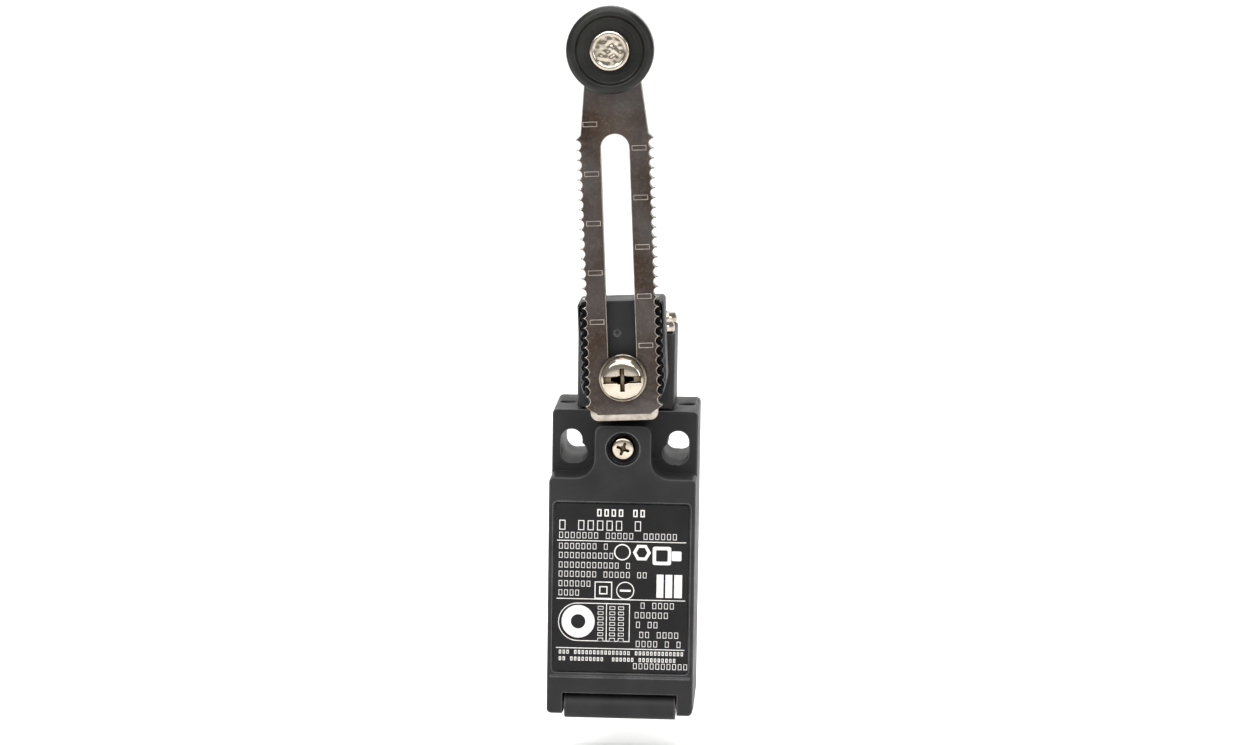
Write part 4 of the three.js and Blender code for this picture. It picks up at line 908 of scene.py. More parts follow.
class CoilTree(Grower):
    """A round-wire spring that stands upright on its foot."""

    def __init__(self) -> None:
        """Name the tree's inputs and build it."""
        super().__init__("coil", {
            "Foot": "Vector", "Radius": "Float", "Wire": "Float", "Height": "Float", "Turns": "Float",
        })

    def build(self) -> None:
        """Sweep a round wire along a spiral."""
        path = self.add("GeometryNodeCurveSpiral", {
            "Resolution": 36, "Rotations": "Turns", "Start Radius": "Radius", "End Radius": "Radius",
            "Height": "Height",
        })
        wire = self.add("GeometryNodeCurvePrimitiveCircle", {"Resolution": 12, "Radius": "Wire"})
        swept = self.add("GeometryNodeCurveToMesh", {
            "Curve": path.outputs[0], "Profile Curve": wire.outputs[0], "Fill Caps": True,
        })
        placed = self.add("GeometryNodeTransform", {"Geometry": swept.outputs[0], "Translation": "Foot"})
        self.close(placed.outputs[0])

    def wind(self, name: str, box: Box, wire: float, turns: float) -> Piece:
        """Wind a spring whose ends lie inside its CAD node's box.

        Args:
            name: The piece's name.
            box: The node's box.
            wire: Radius of the wire.
            turns: How many turns it has.

        Returns:
            The spring.
        """
        return self.grow(name, {
            "Foot": (box.centre.x * MM, box.centre.y * MM, (box.low.z + wire) * MM),
            "Radius": (box.size.x / 2 - wire) * MM, "Wire": wire * MM,
            "Height": (box.size.z - 2 * wire) * MM, "Turns": turns, "Material": SPRING_WIRE.material(),
        })


def shortened(piece: Piece) -> None:
    """Give a spring a mesh of its own.

    Args:
        piece: The spring, fitted to its body.
    """
    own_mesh(piece)


class CellRowTree(Grower):
    """A row of thin, outlined rectangles that stand upright and face the front."""

    def __init__(self) -> None:
        """Name the tree's inputs and build it."""
        super().__init__("row of cells", {
            "Start": "Vector", "Step": "Vector", "Count": "Int", "Width": "Float", "Height": "Float",
            "Stroke": "Float", "Thickness": "Float", "Lean": "Float", "Left Out": "Float", "Seed": "Int",
        })

    def build(self) -> None:
        """Put a rectangle's outline on each point of a line, and leave some out."""
        places = {"Count": "Count", "Start Location": "Start", "Offset": "Step"}
        line = self.add("GeometryNodeMeshLine", places)
        chance = self.add("FunctionNodeRandomValue", data_type="BOOLEAN")
        named = {socket.name: socket for socket in chance.inputs if socket.enabled}
        self.tree.links.new(self.given["Left Out"], named["Probability"])
        self.tree.links.new(self.given["Seed"], named["Seed"])
        picked = next(socket for socket in chance.outputs if socket.enabled)
        left_out = {"Geometry": line.outputs[0], "Selection": picked}
        kept = self.add("GeometryNodeDeleteGeometry", left_out, domain="POINT")
        rectangle_kind = "GeometryNodeCurvePrimitiveQuadrilateral"
        outline = self.add(rectangle_kind, {"Width": "Width", "Height": "Height"})
        stroke = self.add(rectangle_kind, {"Width": "Stroke", "Height": "Thickness"})
        swept = {"Curve": outline.outputs[0], "Profile Curve": stroke.outputs[0]}
        cell = self.add("GeometryNodeCurveToMesh", swept)
        upright = self.add("ShaderNodeCombineXYZ", {"X": math.pi / 2, "Y": "Lean"})
        copies = self.add("GeometryNodeInstanceOnPoints", {
            "Points": kept.outputs[0], "Instance": cell.outputs[0], "Rotation": upright.outputs[0],
        })
        self.close(copies.outputs[0])

    def row(self, name: str, values: dict[str, object]) -> Solid:
        """Grow a row with its inputs set, and return it as a solid in millimetres."""
        made = self.grow(name, values)
        solid = in_millimetres(made.data)
        bpy.data.meshes.remove(made.data)
        return solid


class StationTree(Grower):
    """Copies of one made piece on a two by two pattern that lies in a plane."""

    def __init__(self) -> None:
        """Name the tree's inputs and build it."""
        super().__init__("stations", {
            "Piece": "Object", "Centre": "Vector", "Across": "Vector", "Along": "Vector",
            "Rotation": "Vector",
        })

    def build(self) -> None:
        """Put a copy at each corner of the pattern."""
        info = self.add("GeometryNodeObjectInfo", {"Object": "Piece"})
        copies = self.add("GeometryNodeInstanceOnPoints", {
            "Points": self.corner_line("Across"), "Instance": info.outputs["Geometry"],
            "Rotation": "Rotation",
        })
        doubled = self.add("GeometryNodeInstanceOnPoints", {
            "Points": self.corner_line("Along", "Centre"), "Instance": copies.outputs[0],
        })
        self.close(doubled.outputs[0])

    def corner_line(self, way: str, centre: str | None = None) -> Socket:
        """Return a line of two points, half of one input each way from another."""
        start = self.add("ShaderNodeVectorMath", {0: way, "Scale": -0.5}, operation="SCALE").outputs[0]
        if centre:
            start = self.add("ShaderNodeVectorMath", {0: start, 1: centre}).outputs[0]
        line = self.add("GeometryNodeMeshLine", {"Count": 2, "Start Location": start, "Offset": way})
        return line.outputs[0]

    def lay(self, name: str, screw: PanScrew, places: dict[str, object]) -> Piece:
        """Put a nickel plated screw at each corner of the pattern.

        Args:
            name: The piece's name.
            screw: The screw.
            places: The tree's inputs that place it.

        Returns:
            The screws as one piece.
        """
        sample = as_object(f"{name}_sample", screw.solid())
        made = self.grow(name, {"Piece": sample, "Material": NICKEL.material(), **places})
        bpy.data.meshes.remove(sample.data)
        return made


# ---------------------------------------------------------------- screws
# A pan head's proportions: shares of its radius across, and of its height downwards.
CROWN_RADIUS, SIDE_TOP = 0.86, 0.42
WING_REACH, WING_HALF, WING_FLARE, WING_FLOOR = 0.57, 0.12, 0.45, 0.62
SLOT_REACH, SLOT_HALF, SLOT_FLOOR = 0.88, 0.17, 0.48


@dataclass
class PanScrew:
    """A pan-head screw along Y, its head to the front.

    Attributes:
        crown: Where its crown is.
        tip: Where its shank ends.
        head_radius: Radius of the head.
        head_height: Height of the head.
        shank_radius: Radius of the shank.
        recess: Its driver recess.
        pitch: Pitch of its thread, or 0 for a plain shank.
        pitch: Pitch of its thread, or 0 for a plain shank.
        dome: How far the crown falls towards its rim.
        thread_depth: Height of its thread.
    """

    crown: float
    tip: float
    head_radius: float
    head_height: float
    shank_radius: float
    recess: Recess = Recess.CROSS
    pitch: float = 0.0
    dome: float = 0.16
    thread_depth: float = 0.16

    def solid(self) -> Solid:
        """Return the screw on the Y axis."""
        seat = self.crown + self.head_height
        turns = [math.radians(angle) for angle in range(0, 91, 18)]
        dome = [
            (self.head_radius * CROWN_RADIUS * math.sin(a), self.crown + self.dome * (1 - math.cos(a)))
            for a in turns
        ]
        edge = [
            (self.head_radius, self.crown + self.head_height * SIDE_TOP),
            (self.head_radius, seat),
            (self.shank_radius, seat),
            (self.shank_radius, self.tip - 0.5),
            (self.shank_radius * 0.7, self.tip),
            (0.0, self.tip),
        ]
        body = cut("screw", turned([*dome[:-1], *filleted([dome[-1], *edge], 0.28, 4)]), self.cutters())
        softened(body, 0.05, 1, 50)
        if not self.pitch:
            return body
        core = self.shank_radius - self.thread_depth
        return joined([body, threaded(core, self.thread_depth, self.pitch, seat + 1.2, self.tip - 0.2)])

    def cutters(self) -> list[Solid]:
        """Return the solids that cut the driver recess."""
        radius, above = self.head_radius, self.crown - 0.4

        def wing(across: float, up: float, floor: float, taper: float) -> Solid:
            return tapered((-across, -up), (across, up), above, self.crown + self.head_height * floor, taper)

        reach, half = radius * WING_REACH, radius * WING_HALF
        wings = [
            wing(reach, half, WING_FLOOR, half * WING_FLARE),
            wing(half, reach, WING_FLOOR, half * WING_FLARE),
            wing(half * 1.9, half * 1.9, WING_FLOOR, half * 0.8),
        ]
        if self.recess is Recess.SLOTTED_CROSS:
            wings.append(wing(radius * SLOT_REACH, radius * SLOT_HALF, SLOT_FLOOR, 0.03))
        return wings


# ---------------------------------------------------------------- enclosure
@dataclass
class Enclosure:
    """The moulded case, its hinged cover, and what closes and seals them."""

    edge: float = 0.12
    outer_edge: float = 0.22
    groove_depth: float = 0.16
    groove_height: float = 0.3
    groove_drop: float = 1.0
    screw_turn: float = 0.35
    thread_pitch: float = 1.5
    thread_depth: float = 0.78
    bore_radius: float = 9.2
    conduit_offset: float = 14.5
    thread_length: float = 10.2
    recess_margin: float = 0.6
    screw_clearance: float = 4.0
    groove_share: float = 0.955

    def build(self) -> None:
        """Make every piece of the enclosure."""
        self.build_case()
        self.build_cover()
        self.build_cover_screw()
        Fitted(Body.COVER, NITRILE, ["cover_seal"]).copy("cover_gasket", 0.25, 3)
        Fitted(Body.CASE, GROUND_STEEL, ["hinge_pin"]).copy("cover_hinge_pin", 0.15)

    def build_case(self) -> None:
        """Make the case: rounded outer edges and a threaded conduit bore."""
        box = Box.of("case_body")
        side, top, front = box.high.x, box.high.z, Box.of("cover").high.y - 0.5

        def outer(p: Vector) -> bool:
            return p.z > top - 0.01 and abs(p.x) > side * 0.55 or abs(p.x) > side - 0.02

        def inner(p: Vector) -> bool:
            return p.y < front or p.y > box.high.y - 0.01 or p.z < box.low.z + 0.3

        solid = softened(node_solid("case_body"), self.outer_edge, 3, 50, outer)
        softened(solid, self.edge, 1, 60, inner)
        start, end = box.low.z - 0.5, box.low.z + self.thread_length
        plug = threaded(self.bore_radius, self.thread_depth, self.thread_pitch, start, end, 72)
        stood = Matrix.Translation((0, -self.conduit_offset, 0)) @ Matrix.Rotation(math.pi / 2, 4, "X")
        solid = cut("case", solid, [moved(plug, stood)])
        Fitted(Body.CASE, BLACK_PBT, ["case_body"]).fit("case_shell", solid)

    def build_cover(self) -> None:
        """Make the cover: rounded front edges, crisp recesses and the groove under the name plate."""
        box, label, screw = Box.of("cover"), Box.of("name_plate"), Box.of("cover_screw")

        def at_front(p: Vector) -> bool:
            beside = label.size / 2 + Vector((1, 1, 1)) * self.recess_margin
            away = p - label.centre
            near_label = abs(away.x) < beside.x and abs(away.z) < beside.z
            near_screw = math.hypot(p.x, p.z - screw.centre.z) < self.screw_clearance
            return p.y < box.low.y + 0.01 and not near_label and not near_screw

        solid = softened(node_solid("cover"), self.outer_edge, 3, 50, at_front)
        softened(solid, 0.1, 1, 60, lambda p: p.y < box.low.y + 3.0)
        top, half = label.low.z - self.groove_drop, box.high.x * self.groove_share
        groove = block(
            (-half, box.low.y - 1, top - self.groove_height), (half, box.low.y + self.groove_depth, top)
        )
        solid = cut("cover", solid, [groove])
        Fitted(Body.COVER, BLACK_PBT, ["cover"]).fit("front_cover", solid)

    def build_cover_screw(self) -> None:
        """Make the captive cover screw and the clip that holds it."""
        box = Box.of("cover_screw")
        screw = PanScrew(box.low.y, box.high.y, box.high.x, 1.7, 1.4, pitch=0.7)
        turned_up = Matrix.Translation((0, 0, box.centre.z)) @ Matrix.Rotation(self.screw_turn, 4, "Y")
        Fitted(Body.COVER, NICKEL, ["cover_screw"]).fit("captive_screw", moved(screw.solid(), turned_up))
        Fitted(Body.COVER, SPRING_WIRE, ["cover_screw_clip"]).copy("captive_clip", 0.12)


# ---------------------------------------------------------------- name plate
# A printed cell's width and the step to the next one, over its height.
CELL_WIDTH, CELL_STEP = 0.62, 0.92


@dataclass(frozen=True)
class PrintRow:
    """A row of blank cells, from the plate's top left corner.

    Attributes:
        left: Where it starts.
        right: Where it ends.
        top: Its upper edge.
        height: Height of its cells.
        seed: Chooses which cells are left out.
        upright: Whether it runs upwards.
        stroke: Width of the printed line.
    """

    left: float
    right: float
    top: float
    height: float
    seed: int
    upright: bool = False
    stroke: float = 0.15


@dataclass
class NamePlate:
    """The printed film on the cover. Its print is blank cells, rules and plain shapes, with no lettering."""

    ink: float = 0.03
    rules: tuple[float, ...] = (7.6, 19.7, 30.0)
    rule_width: float = 0.16
    margin: float = 0.5
    left_out: float = 0.14
    rows: tuple[PrintRow, ...] = (
        PrintRow(8.6, 18.2, 1.0, 1.6, 1, stroke=0.34),
        PrintRow(0.9, 17.8, 3.4, 2.1, 2, stroke=0.22),
        PrintRow(0.9, 16.2, 5.9, 1.3, 3), PrintRow(18.2, 26.2, 5.9, 1.3, 4),
        PrintRow(0.9, 12.2, 8.2, 1.25, 5), PrintRow(0.9, 11.4, 10.1, 1.25, 6),
        PrintRow(0.9, 15.4, 12.1, 1.25, 7), PrintRow(0.9, 18.2, 14.0, 1.25, 8),
        PrintRow(0.9, 7.4, 16.0, 1.25, 9), PrintRow(0.9, 5.0, 17.9, 1.25, 10),
        PrintRow(16.6, 24.8, 20.3, 1.3, 11), PrintRow(16.6, 23.0, 22.3, 1.3, 12),
        PrintRow(16.9, 22.2, 24.3, 1.3, 13), PrintRow(17.6, 24.9, 26.4, 1.3, 14),
        PrintRow(16.9, 26.8, 28.3, 1.3, 15),
        PrintRow(1.1, 26.6, 30.5, 0.85, 16, stroke=0.2), PrintRow(1.1, 24.6, 31.9, 0.85, 17, stroke=0.2),
        PrintRow(16.4, 26.8, 33.0, 1.25, 18),
        PrintRow(9.0, 10.2, 28.2, 7.0, 19, upright=True), PrintRow(11.4, 12.6, 28.2, 7.0, 20, upright=True),
        PrintRow(13.2, 14.4, 28.2, 7.0, 21, upright=True),
    )

    def build(self) -> None:
        """Make the film and its print."""
        self.box = Box.of("name_plate")
        low, high = self.box.low, self.box.high
        outline = rectangle((low.x, low.z), (high.x, high.z), 0.8)
        film = plate([outline], rounded_layers(high.y, low.y + self.ink, 0.05, 1))
        Fitted(Body.COVER, LABEL_FILM, ["name_plate"]).fit("plate_film", film)
        shapes = [self.printed(loops) for loops in [*self.rule_loops(), *self.shape_loops()]]
        cells = CellRowTree()
        for number, row in enumerate(self.rows):
            shapes.append(cells.row(f"print_row_{number}", self.row_values(row)))
        Fitted(Body.COVER, PRINT_INK).fit("plate_print", joined(shapes))

    def at(self, x: float, down: float) -> Point:
        """Return a place on the plate from its top left corner."""
        return self.box.low.x + x, self.box.high.z - down

    def printed(self, loops: Sequence[Sequence[Point]]) -> Solid:
        """Return a printed shape that lies on the film."""
        film = self.box.low.y + self.ink
        return plate(loops, [(film + 0.01, 0.0), (film - self.ink, 0.0)])

    def row_values(self, row: PrintRow) -> dict[str, object]:
        """Return the tree's inputs for one row of cells."""
        depth = self.box.low.y + self.ink / 2
        if row.upright:
            cell, length = row.right - row.left, row.height
            x, z = self.at((row.left + row.right) / 2, row.top)
            size, step = (cell, cell * CELL_WIDTH), (0.0, 0.0, cell * CELL_STEP * MM)
        else:
            cell, length = row.height, row.right - row.left
            x, z = self.at(row.left + cell * CELL_WIDTH / 2, row.top + cell / 2)
            size, step = (cell * CELL_WIDTH, cell), (cell * CELL_STEP * MM, 0.0, 0.0)
        return {
            "Start": (x * MM, depth * MM, z * MM), "Step": step,
            "Count": int(length / (cell * CELL_STEP)) + 1,
            "Width": (size[0] - row.stroke) * MM, "Height": (size[1] - row.stroke) * MM,
            "Stroke": row.stroke * MM, "Thickness": self.ink * MM, "Left Out": self.left_out,
            "Seed": row.seed, "Material": PRINT_INK.material(),
        }

    def rule_loops(self) -> list[list[list[Point]]]:
        """Return the rules that part the plate's fields."""
        width = self.box.size.x - self.margin
        return [
            [rectangle(self.at(self.margin, down + self.rule_width), self.at(width, down))]
            for down in self.rules
        ]

    def shape_loops(self) -> list[list[list[Point]]]:
        """Return the plain shapes: a ring, discs, a hexagon, squares, blocks and a framed field."""

        def round_at(x: float, down: float, radius: float, sides: int = 40) -> list[Point]:
            return arc(self.at(x, down), radius, 0, 360, sides)[:-1]

        def square_at(x: float, down: float, half: float, corner: float = 0.0) -> list[Point]:
            cx, cz = self.at(x, down)
            return rectangle((cx - half, cz - half), (cx + half, cz + half), corner)

        return [
            [round_at(5.0, 24.5, 3.4), round_at(5.0, 24.5, 1.5)],
            [self.framed_field(0.0), self.framed_field(self.rule_width)],
            [rectangle(self.at(10.72, 28.4), self.at(10.88, 20.8))],
            [square_at(10.1, 17.9, 1.8), square_at(10.1, 17.9, 1.6)],
            [square_at(10.1, 17.9, 0.85), square_at(10.1, 17.9, 0.62)],
            [round_at(14.6, 17.9, 1.85), round_at(14.6, 17.9, 1.67)],
            [rectangle(self.at(13.5, 18.1), self.at(15.7, 17.7))],
            [round_at(13.9, 9.9, 1.7), round_at(13.9, 9.9, 1.45)],
            [round_at(17.9, 9.9, 1.85, 6), round_at(17.9, 9.9, 1.15, 6)],
            [square_at(22.0, 10.5, 1.9, 0.5), square_at(22.0, 10.5, 1.2, 0.3)],
            [square_at(25.0, 10.5, 1.0, 0.3)],
            [rectangle(self.at(21.0, 19.2), self.at(22.4, 14.4))],
            [rectangle(self.at(22.8, 19.2), self.at(24.2, 14.4))],
            [rectangle(self.at(24.6, 19.2), self.at(26.2, 14.4))],
        ]

    def framed_field(self, inset: float) -> list[Point]:
        """Return the outline of the framed field, whose left end is round."""
        left, low = self.at(0.9 + inset, 28.6 - inset)
        right, high = self.at(15.6 - inset, 20.6 + inset)
        radius = (high - low) / 2
        return [(right, low), (right, high), *arc((left + radius, (low + high) / 2), radius, 90, 270, 24)]


# ---------------------------------------------------------------- head
@dataclass
class Head:
    """The square head with its screws, seals, bush and return spring."""

    edge: float = 0.35
    screw_height: float = 2.2
    screw_radius: float = 2.6
    shank_radius: float = 1.2
    spring_turns: float = 6.0
    wire: float = 0.4
    travel: float = 2.5

    def build(self) -> None:
        """Make every piece of the head."""
        box = Box.of("head_case")

        def outer(p: Vector) -> bool:
            return max(abs(p.x) / box.high.x, abs(p.y - box.centre.y) / (box.size.y / 2)) > 0.97

        solid = softened(node_solid("head_case"), self.edge, 3, 60, outer)
        softened(solid, 0.15, 1, 60, lambda p: p.z > box.high.z - 0.01)
        Fitted(Body.CASE, BLACK_PBT, ["head_case"]).fit("head_block", solid)
        self.build_screws()
        self.build_spring()
        Fitted(Body.CASE, NITRILE, ["head_seal"]).copy("head_gasket", 0.2)
        Fitted(Body.CASE, NITRILE, ["shaft_seal"]).copy("shaft_lip_seal", 0.25, 3)
        Fitted(Body.CASE, BRONZE, ["shaft_bush"]).copy("shaft_bearing", 0.15)
        Fitted(Body.PLUNGER, GREY_PBT, ["head_plunger"]).copy("cam_follower", 0.25, 3)

    def build_screws(self) -> None:
        """Make the four head screws, upright, on their square pattern."""
        nodes = [f"head_screw_{i}" for i in range(1, 5)]
        boxes = [Box.of(node) for node in nodes]
        low, high = boxes[0].centre, boxes[3].centre
        length = boxes[0].size.z
        screw = PanScrew(0.0, length, self.screw_radius, self.screw_height, self.shank_radius, pitch=0.5)
        made = StationTree().lay("head_screws", screw, {
            "Centre": ((low + high) / 2 * MM)[:2] + (boxes[0].high.z * MM,),
            "Across": ((high.x - low.x) * MM, 0.0, 0.0), "Along": (0.0, (high.y - low.y) * MM, 0.0),
            "Rotation": (-math.pi / 2, 0.0, 0.0),
        })
        Fitted(Body.CASE, NICKEL, nodes).take(made)

    def build_spring(self) -> None:
        """Make the return spring, with its ends inside its CAD solid."""
        box = Box.of("return_spring")
        made = CoilTree().wind("return_coil", box, self.wire, self.spring_turns)
        Fitted(Body.CASE, SPRING_WIRE, ["return_spring"]).take(made)
        shortened(made)


# ---------------------------------------------------------------- lever
@dataclass
class LeverArm:
    """The holder, the toothed lever, its clamping screw and the roller.

    The lever's own frame has its origin on the shaft's axis and +Z up the lever.
    """

    half_width: float = 6.85
    tooth_depth: float = 0.95
    pitch: float = 2.0
    teeth: int = 28
    first_tooth: float = 18.2
    tail: float = 8.9
    corner: float = 1.6
    neck_half: float = 5.75
    neck: float = 7.0
    blade: float = 17.2
    eye_radius: float = 5.1
    slot_half: float = 2.85
    slot_start: float = 20.0
    slot_tail: float = 1.6
    rail_gap: float = 0.15
    rail_depth: float = 0.4
    holder_top: float = 15.4
    holder_corner: float = 0.8
    tail_chamfer: float = 1.15
    tail_chamfer_depth: float = 0.6
    mark_width: float = 2.8
    mark_height: float = 0.9
    mark_stroke: float = 0.2
    mark_step: float = 10.0
    left_marks: float = 15.0
    right_marks: float = 20.0
    mark_count: int = 5
    eye_hole: float = 2.7
    stamped_edge: float = 0.14
    mark_thickness: float = 0.1
    holder_wall: float = 0.8
    holder_edge: float = 0.3
    channel_gap: float = 0.3
    shaft_bore: float = 3.8
    screw_bore: float = 2.6
    dimple_at: Point = (-1.0, 8.75)
    rail_half: float = 0.85
    rail_floor_half: float = 0.45
    bevel: float = 0.9
    rim_width: float = 1.75
    pin_head: float = 1.4
    pin_neck: float = 2.4
    hammer_depth: float = 0.16
    hammer_pitch: float = 1.15

    def __post_init__(self) -> None:
        """Read the lever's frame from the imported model."""
        self.shaft = Box.of("lever_screw").centre
        self.eye = Box.of("roller_pin").centre
        rise = self.eye - self.shaft
        self.reach = math.hypot(rise.x, rise.z)
        self.lean = math.atan2(-rise.x, rise.z)
        self.frame = Matrix.Translation((self.shaft.x, 0, self.shaft.z)) @ Matrix.Rotation(-self.lean, 4, "Y")
        self.plate_box = Box.of("lever_plate")
        self.holder_box = Box.of("lever_holder")

    def build(self) -> None:
        """Make every piece that turns with the shaft."""
        self.build_holder()
        self.build_plate()
        self.build_marks()
        self.build_fasteners()
        self.build_roller()
        self.build_inner()

    def tooth_edge(self, side: int) -> list[Point]:
        """Return one toothed edge from its lower end to its upper end.

        Args:
            side: 1 for the right edge and -1 for the left.

        Returns:
            The edge's points, the round gullets as arcs.
        """
        tip = self.half_width + self.tooth_depth
        lowest = self.reach - self.first_tooth - (self.teeth - 1) * self.pitch
        radius = self.pitch / 2 * 0.97
        middle = self.half_width + radius
        swing = math.degrees(math.acos((middle - tip) / radius)) if middle < tip + radius else 0.0
        points = [(self.half_width, lowest - self.pitch / 2), (tip, lowest - 0.12)]
        for k in range(self.teeth - 1):
            z = lowest + (k + 0.5) * self.pitch
            gullet = arc((middle, z), radius, 180 + swing, 180 - swing, 8)
            points += [(min(x, tip), height) for x, height in gullet]
        blade = self.reach - self.blade
        points += [(tip, blade - self.pitch / 2 + 0.12), (self.half_width, blade)]
        return [(side * x, z) for x, z in points]

    def plate_outline(self) -> list[Point]:
        """Return the lever's outline, counter-clockwise from its lower right corner."""
        low = -self.tail
        half, corner = self.half_width, self.corner
        neck = self.reach - self.neck
        lift = math.degrees(math.asin((self.neck_half - self.eye_radius) / self.neck))
        return [
            *arc((half - corner, low + corner), corner, -90, 0, 8),
            (half, low + corner + 0.7),
            *self.tooth_edge(1),
            (self.neck_half, neck),
            *arc((0, self.reach), self.eye_radius, -lift, 180 + lift, 36),
            (-self.neck_half, neck),
            *reversed(self.tooth_edge(-1)),
            (-half, low + corner + 0.7),
            *arc((-half + corner, low + corner), corner, 180, 270, 8),
        ]

    def build_plate(self) -> None:
        """Make the lever, with soft stamped edges and a broad chamfer on its lower end."""
        back, front = self.plate_box.high.y, self.plate_box.low.y
        slot = upright_slot(0, -self.slot_tail, self.reach - self.slot_start, self.slot_half)
        eye = arc((0, self.reach), self.eye_hole, 0, 360, 36)[:-1]
        layers = rounded_layers(back, front, self.stamped_edge, 2)
        layers.insert(len(layers) // 2, (front + self.tail_chamfer_depth, 0.0))
        solid = plate([self.plate_outline(), slot, eye], layers)
        self.chamfer_tail(solid, front)
        fitted = Fitted(Body.LEVER, LEVER_STEEL, ["lever_plate"])
        self.paint_rim_highlight(fitted.fit("toothed_lever", moved(solid, self.frame), 28))

    def paint_rim_highlight(self, lever: Piece) -> None:
        """Give the sloping front rims, which rub on the holder and on fingers, a bright finish that is also a
        painted highlight.
        """
        lever.data.materials.append(BARE_STEEL_AND_RIM_HIGHLIGHT.material())
        depth = (self.plate_box.low.y + self.tail_chamfer_depth) * MM
        # Sloping faces that face the front get the painted rim highlight.
        for face in lever.data.polygons:
            if face.center.y < depth and -0.985 < face.normal.y < -0.25:
                face.material_index = 1

    def chamfer_tail(self, solid: Solid, front: float) -> None:
        """Draw the front face's lower rim in, so that the end slopes back all round."""
        start = -self.tail + self.corner + 0.7
        inner = self.half_width - self.corner
        for vert in solid.verts:
            if vert.co.z > start or vert.co.y > front + self.tail_chamfer_depth - 0.05:
                continue
            share = min(1.0, (start - vert.co.z) / 0.7)
            pull = self.tail_chamfer * share
            away = Vector((max(0.0, abs(vert.co.x) - inner), min(0.0, vert.co.z + self.tail - self.corner)))
            way = away.normalized() if away.length > 1e-6 else Vector((0, -1))
            vert.co.x -= math.copysign(way.x * pull, vert.co.x)
            vert.co.z -= way.y * pull

    def build_marks(self) -> None:
        """Make the two rows of stamped setting marks, 10 mm apart."""
        front = self.plate_box.low.y
        along = Vector((-math.sin(self.lean), 0, math.cos(self.lean)))
        across = Vector((math.cos(self.lean), 0, math.sin(self.lean)))
        middle = (self.half_width + self.slot_half) / 2
        tree = CellRowTree()
        rows = []
        for side, first in ((-1, self.left_marks), (1, self.right_marks)):
            start = Vector((self.shaft.x, front, self.shaft.z))
            start += along * (self.reach - first) + across * (side * middle)
            rows.append(tree.row(f"mark_row_{first:.0f}", {
                "Start": tuple(start * MM), "Step": tuple(along * -self.mark_step * MM),
                "Count": self.mark_count, "Width": self.mark_width * MM, "Height": self.mark_height * MM,
                "Stroke": self.mark_stroke * MM, "Thickness": self.mark_thickness * MM,
                "Lean": -self.lean, "Left Out": 0.0, "Seed": 0, "Material": BARE_STEEL_AND_RIM_HIGHLIGHT.material(),
            }))
        Fitted(Body.LEVER, BARE_STEEL_AND_RIM_HIGHLIGHT).fit("setting_marks", joined(rows))

    def build_holder(self) -> None:
        """Make the holder: a round-bottomed block whose front is a channel with toothed sides."""
        radius = self.half_width + self.tooth_depth + self.rail_gap + self.holder_wall
        back, front = self.holder_box.high.y, self.plate_box.low.y
        floor = self.plate_box.high.y + self.channel_gap
        corner = self.holder_corner
        side, top = radius - corner, self.holder_top - corner
        outline = [
            *arc((0, 0), radius, 180, 360, 48),
            *arc((side, top), corner, 0, 90, 6),
            *arc((-side, top), corner, 90, 180, 6),
        ]
        body = plate([outline], rounded_layers(back, front, self.holder_edge, 3))
        channel = plate([self.channel_outline()], [(floor, 0.0), (front - 1.0, 0.0)])
        shaft_bore = rod(self.shaft_bore, floor + 2.1, back + 1, 48)
        screw_bore = rod(self.screw_bore, floor - 1, back, 40)
        bowl = [
            (0, floor + 0.35), (0.45, floor + 0.25), (0.75, floor - 0.1), (0.75, floor - 1), (0, floor - 1),
        ]
        place = Matrix.Translation((self.dimple_at[0], 0, self.dimple_at[1]))
        solid = cut("holder", body, [channel, shaft_bore, screw_bore, moved(turned(bowl, 24), place)])
        softened(solid, 0.1, 1, 60, lambda p: p.y < front + 0.02)
        Fitted(Body.SHAFT, BLACK_PBT, ["lever_holder"]).fit("form_lock_holder", moved(solid, self.frame))

    def channel_outline(self) -> list[Point]:
        """Return the channel's outline, which runs out past the holder at both ends."""
        tips = self.half_width + self.tooth_depth + self.rail_gap
        root = tips + self.rail_depth
        low, high = -12.0, self.holder_top + 3
        start = (self.reach - self.first_tooth) % self.pitch - 6 * self.pitch
        wide, narrow, shoulder = self.rail_half, self.rail_floor_half, root - 0.08
        right = [(tips, low)]
        for k in range(math.ceil((high - start) / self.pitch)):
            z = start + k * self.pitch
            if z - self.pitch / 2 > low:
                right += [(tips, z - wide), (shoulder, z - narrow), (root, z)]
                right += [(shoulder, z + narrow), (tips, z + wide)]
        right = [p for p in right if p[1] < high] + [(tips, high)]
        return right + [(-x, z) for x, z in reversed(right)]

    def build_fasteners(self) -> None:
        """Make the clamping screw and its washer."""
        box, washer = Box.of("lever_screw"), Box.of("lever_washer")
        screw = PanScrew(box.low.y, box.high.y, box.size.x / 2, 2.5, 2.3, Recess.SLOTTED_CROSS, dome=0.3)
        placed = moved(screw.solid(), self.frame)
        Fitted(Body.SHAFT, NICKEL, ["lever_screw"]).fit("clamping_screw", placed, 30)
        ring = flat_ring(self.screw_bore, washer, 0.16, 3, 72)
        Fitted(Body.SHAFT, NICKEL, ["lever_washer"]).fit("clamping_washer", moved(ring, self.frame))

